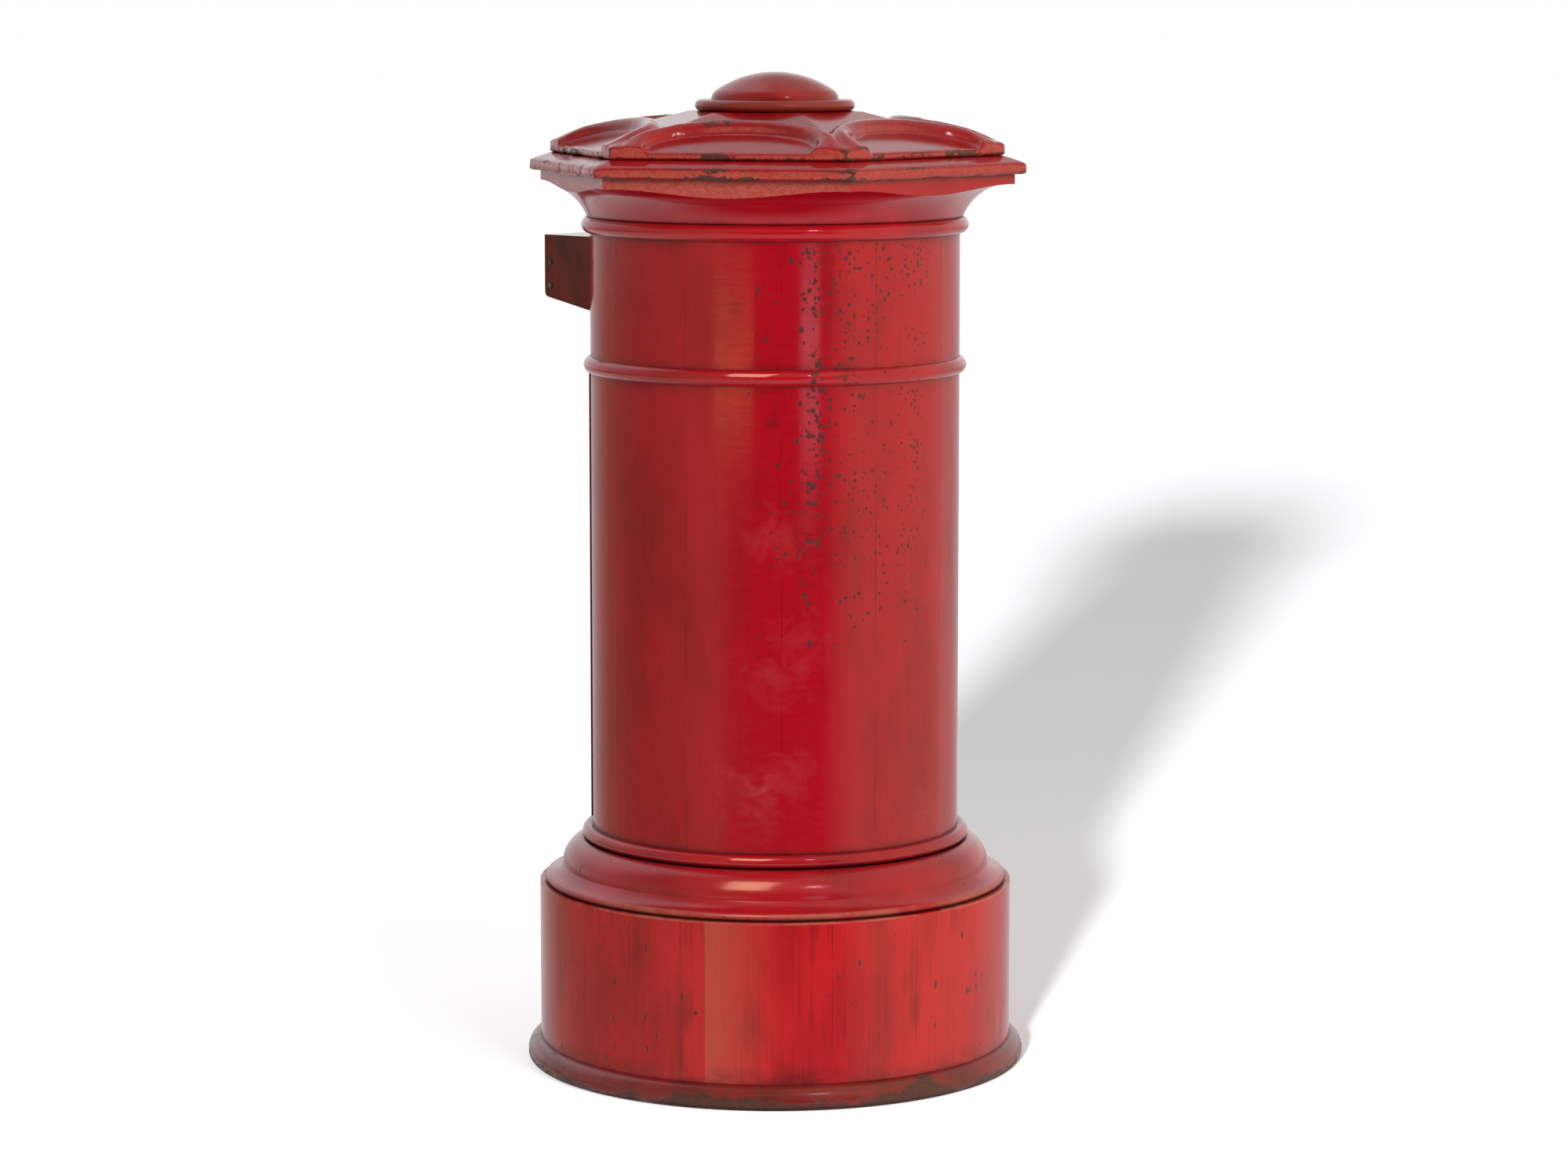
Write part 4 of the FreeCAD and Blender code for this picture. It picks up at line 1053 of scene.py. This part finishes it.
@dataclass
class Fittings:
    """Hinges, lock, screws and nails."""

    steel_nodes: tuple[str, ...] = ("hinge_pins", "door_screws", "frame_screws", "mouth_nails", "lock_bolt")

    def dress(self) -> None:
        """Give each fitting its metal."""
        brass = AgedMetal("aged_brass", "#B8954E", "#6E5630")
        steel = AgedMetal("oiled_steel", "#8C8882", "#4A4440")
        japan = AgedMetal("black_japan", "#1C1A19", "#262220", metallic=0.0, rough_low=0.25, rough_high=0.4)
        leaves = [f"{level}_hinge_{side}_leaf" for level in ("lower", "upper") for side in ("frame", "door")]
        finish_nodes(leaves + ["keyhole_liner", "keep_plate"], brass.material())
        finish_nodes(list(self.steel_nodes), steel.material())
        finish_nodes(["lock_case"], japan.material())


@dataclass(frozen=True)
class Lamp:
    """Soft box: its angle from the camera's side, its place and size in metres, its power and colour."""

    name: str
    angle: float
    distance: float
    height: float
    size: Span
    power: float
    colour: str
    light: Light = Light.GLOSS
    lights_only: tuple[str, ...] = ()


@dataclass
class Studio:
    """Pale floor, soft light and the camera.

    Each cloth of the tent is a row of degrees from the camera's side, brightness and warmth.
    """

    focal_px: float = 5800.0
    distance: float = 3.440
    eye_height: float = 0.815
    pitch: float = 7.5
    axis_px: float = -11.5
    aim_height: float = 0.5
    floor_size: float = 60.0
    floor_drop: float = 0.0002
    floor_lift: float = 0.11
    sun_power: float = 9.5
    sun_width: float = 3.5
    sun_side: float = -11.0
    sun_rise: float = 10.8
    even_light: tuple[float, float, float, float] = (0.52, 0.51, 0.495, 1.0)
    lamps: tuple[Lamp, ...] = (
        Lamp("key", 33.0, 2.5, 1.2, (1.2, 1.2), 38.0, "#FFF8F0", Light.COLOUR),
        Lamp("warm_strip", -25.0, 2.6, 0.345, (1.05, 0.16), 1.25, "#FFB47A"),
        Lamp("cool_strip", 21.0, 2.6, 0.35, (0.5, 0.24), 0.6, "#EEF1FF"),
        Lamp("warm_box", -17.0, 1.35, 1.75, (0.7, 1.3), 24.0, "#FFDFBE",
             lights_only=("plinth_moulding", "lower_bead", "middle_bead")),
        Lamp("cool_box", 24.0, 1.7, 1.75, (0.16, 0.16), 2.4, "#EEF1FF"))
    low_cloth: tuple[Spot, ...] = (
        (-180, 0.75, 0.0), (-150, 0.56, 0.05), (-128, 0.36, 0.3), (-90, 0.29, 0.4), (-50, 0.46, 0.4),
        (-36, 0.44, 0.4), (-27, 0.15, 0.3), (-14, 0.04, 0.2), (2, 0.0, 0.0), (30, 0.0, 0.0), (38, 0.4, 0.3),
        (50, 0.86, 0.35), (90, 0.86, 0.35), (112, 0.68, 0.3), (128, 0.74, 0.15), (146, 0.54, 0.05),
        (165, 0.6, 0.0), (180, 0.75, 0.0))
    level_cloth: tuple[Spot, ...] = (
        (-180, 1.0, 0.0), (-140, 0.82, -0.05), (-90, 0.6, 0.1), (-40, 0.45, 0.3), (-20, 0.15, 0.2),
        (2, 0.03, 0.0), (34, 0.03, 0.0), (44, 0.7, 0.3), (90, 0.9, 0.3), (140, 0.85, 0.0), (180, 1.0, 0.0))
    high_cloth: tuple[Spot, ...] = (
        (-180, 0.5, 0.0), (-160, 1.0, -0.05), (-120, 1.1, -0.05), (-85, 0.35, 0.2), (0, 0.3, 0.2),
        (60, 0.75, 0.2), (120, 0.75, 0.2), (180, 0.5, 0.0))
    level_from: Span = (-0.06, -0.015)
    high_from: Span = (0.25, 0.6)
    ground_from: Span = (-0.18, -0.36)
    ground_shade: Span = (-0.98, -0.84)
    ground_greys: Span = (0.05, 0.85)

    def toward(self, angle: float, distance: float, height: float) -> Vector:
        """Point at an angle from the camera's side of the axis, positive to the picture's right.

        Args:
            angle: Degrees.
            distance: Metres from the axis.
            height: Metres above the floor.

        Returns:
            The point.
        """
        turn = math.radians(CAMERA_SIDE + angle)
        return Vector((distance * math.cos(turn), distance * math.sin(turn), height))

    def build(self) -> None:
        """Set up everything around the object."""
        floor = self.add_floor()
        self.add_world()
        self.add_tent()
        for lamp in self.lamps:
            self.add_lamp(lamp)
        self.add_floor_sun(floor)
        self.add_camera()
        bpy.context.scene.view_settings.view_transform = "Standard"

    def add_floor(self) -> bpy.types.Object:
        """Lay a white floor that shows the soft shadow.

        Returns:
            The floor.
        """
        bpy.ops.object.select_all(action="DESELECT")
        bpy.ops.mesh.primitive_plane_add(size=self.floor_size, location=(0, 0, -self.floor_drop))
        floor = bpy.context.object
        floor.name = "floor"
        material, tree, shader = new_material("white_paper_floor")
        seen = add_node(tree, "LightPath").node.outputs["Is Camera Ray"]
        lift = add_node(tree, "Math", {0: seen, 1: self.floor_lift}, operation="MULTIPLY")
        tree.links.new(lift, shader.inputs["Emission Strength"])
        for name, value in (("Base Color", linear("#ECEDF1")), ("Emission Color", WHITE), ("Roughness", 0.9),
                            ("Specular IOR Level", 0.0)):
            shader.inputs[name].default_value = value
        floor.data.materials.append(material)
        floor.visible_glossy = False
        floor.visible_diffuse = False
        return floor

    def add_floor_sun(self, floor: bpy.types.Object) -> None:
        """Add the low light that draws the long shadow, on the floor alone.

        Args:
            floor: Object that takes the light.
        """
        sun = bpy.data.lights.new("floor_sun", "SUN")
        sun.energy = self.sun_power
        sun.angle = math.radians(self.sun_width)
        holder = bpy.data.objects.new("floor_sun", sun)
        bpy.context.scene.collection.objects.link(holder)
        rise = math.radians(self.sun_rise)
        aim = -self.toward(self.sun_side, math.cos(rise), math.sin(rise))
        holder.rotation_euler = aim.to_track_quat("-Z", "Y").to_euler()
        holder.visible_glossy = False
        self.limit(holder, [floor])

    def limit(self, holder: bpy.types.Object, things: list[bpy.types.Object]) -> None:
        """Let a lamp light some things only.

        Args:
            holder: Lamp.
            things: What it lights.
        """
        taken = bpy.data.collections.new(f"{holder.name}_takes")
        for thing in things:
            taken.objects.link(thing)
        holder.light_linking.receiver_collection = taken

    def add_world(self) -> None:
        """Light the object from all around, and show white where a ray goes past everything."""
        world = bpy.data.worlds.new("studio")
        bpy.context.scene.world = world
        world.use_nodes = True
        tree = world.node_tree
        tree.nodes.clear()
        path = add_node(tree, "LightPath").node.outputs
        rays = [path[f"Is {kind} Ray"] for kind in ("Camera", "Glossy", "Transmission")]
        seen = reduce(lambda one, two: add_node(tree, "Math", {0: one, 1: two}, operation="MAXIMUM"), rays)
        shown = add_node(tree, "Mix", {0: seen, 6: self.even_light, 7: WHITE}, data_type="RGBA")
        shine = add_node(tree, "Background", {"Color": shown, "Strength": 1.0})
        add_node(tree, "OutputWorld", {"Surface": shine})

    def add_tent(self) -> None:
        """Hang the wide tent of white and grey cloth that the gloss shows around the object."""
        bpy.ops.object.select_all(action="DESELECT")
        bpy.ops.mesh.primitive_uv_sphere_add(segments=64, ring_count=32, radius=self.floor_size)
        tent = bpy.context.object
        tent.name = "studio_tent"
        material, tree, _ = new_material("lit_tent_cloth")
        tree.nodes.clear()
        place = add_node(tree, "TexCoord").node.outputs["Object"]
        way = add_node(tree, "VectorMath", {0: place}, operation="NORMALIZE")
        glow = add_node(tree, "Emission", {"Color": self.room(tree, way)})
        add_node(tree, "OutputMaterial", {"Surface": glow})
        material.cycles.emission_sampling = "NONE"
        tent.data.materials.append(material)
        tent.visible_camera = False
        tent.visible_diffuse = False
        tent.visible_transmission = False
        tent.visible_shadow = False

    def room(self, tree: Tree, way: Socket) -> Socket:
        """Add the studio's light by direction: dark behind the camera, grey to the left, white to the right.

        Args:
            tree: Tree that gets the nodes.
            way: Socket with the direction.

        Returns:
            Socket with the colour.
        """
        turned = add_node(tree, "Mapping", {"Vector": way, "Rotation": (0, 0, -math.radians(CAMERA_SIDE))})
        x, y, up = add_node(tree, "SeparateXYZ", {0: turned}).node.outputs
        turn = add_node(tree, "Math", {0: y, 1: x}, operation="ARCTAN2")
        share = add_node(tree, "MapRange", {"Value": turn, "From Min": -math.pi, "From Max": math.pi})
        room = self.cloth(tree, share, self.low_cloth)
        for stops, (first, last) in ((self.level_cloth, self.level_from), (self.high_cloth, self.high_from)):
            rise = add_node(tree, "MapRange", {"Value": up, "From Min": first, "From Max": last})
            cloth = self.cloth(tree, share, stops)
            room = add_node(tree, "Mix", {0: rise, 6: room, 7: cloth}, data_type="RGBA")
        ground = add_node(tree, "MapRange", {
            "Value": up, "From Min": self.ground_shade[0], "From Max": self.ground_shade[1],
            "To Min": self.ground_greys[0], "To Max": self.ground_greys[1]})
        fall = add_node(tree, "MapRange", {
            "Value": up, "From Min": self.ground_from[0], "From Max": self.ground_from[1]})
        return add_node(tree, "Mix", {0: fall, 6: room, 7: ground}, data_type="RGBA")

    def cloth(self, tree: Tree, share: Socket, stops: tuple[Spot, ...]) -> Socket:
        """Add one ring of the tent's cloth.

        Args:
            tree: Tree that gets the node.
            share: Way round the full turn, from 0 to 1.
            stops: Degrees from the camera's side, brightness and warmth.

        Returns:
            Socket with the colour.
        """
        ramp = add_node(tree, "ValToRGB", {0: share})
        elements = ramp.node.color_ramp.elements
        while len(elements) < len(stops):
            elements.new(0.5)
        for element, (angle, grey, warmth) in zip(elements, stops):
            element.position = (angle + 180.0) / 360.0
            element.color = (grey, grey * (1.0 - 0.1 * warmth), grey * (1.0 - warmth), 1.0)
        return ramp

    def add_lamp(self, plan: Lamp) -> None:
        """Add a soft box aimed at the object's axis.

        Args:
            plan: Place, size and light of the lamp.
        """
        lamp = bpy.data.lights.new(plan.name, "AREA")
        lamp.shape = "RECTANGLE"
        lamp.size, lamp.size_y = plan.size
        lamp.energy = plan.power
        lamp.color = linear(plan.colour)[:3]
        holder = bpy.data.objects.new(plan.name, lamp)
        bpy.context.scene.collection.objects.link(holder)
        holder.location = self.toward(plan.angle, plan.distance, plan.height)
        aim = Vector((0, 0, self.aim_height)) - holder.location
        holder.rotation_euler = aim.to_track_quat("-Z", "Y").to_euler()
        holder.visible_camera = False
        holder.visible_glossy = plan.light is Light.GLOSS
        holder.visible_diffuse = plan.light is Light.COLOUR
        if plan.lights_only:
            self.limit(holder, [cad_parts[name] for name in plan.lights_only])

    def add_camera(self) -> None:
        """Put the camera where the picture was taken from."""
        camera = bpy.data.objects.new("camera", bpy.data.cameras.new("camera"))
        bpy.context.scene.collection.objects.link(camera)
        camera.data.sensor_width = SENSOR_MM
        camera.data.lens = SENSOR_MM * self.focal_px / IMAGE_W
        camera.location = self.toward(0.0, self.distance, self.eye_height)
        yaw = math.atan(-self.axis_px / self.focal_px)
        camera.rotation_euler = (math.radians(90.0 - self.pitch), 0, math.radians(CAMERA_AZIMUTH) - yaw)
        bpy.context.scene.camera = camera


def main() -> None:
    """Dress every part and light it."""
    logging.basicConfig(level=logging.INFO)
    for part in (Base(), Drum(), PostingMouth(), Cap(), Fittings()):
        part.dress()
    Studio().build()


if __name__ == "__main__":
    main()
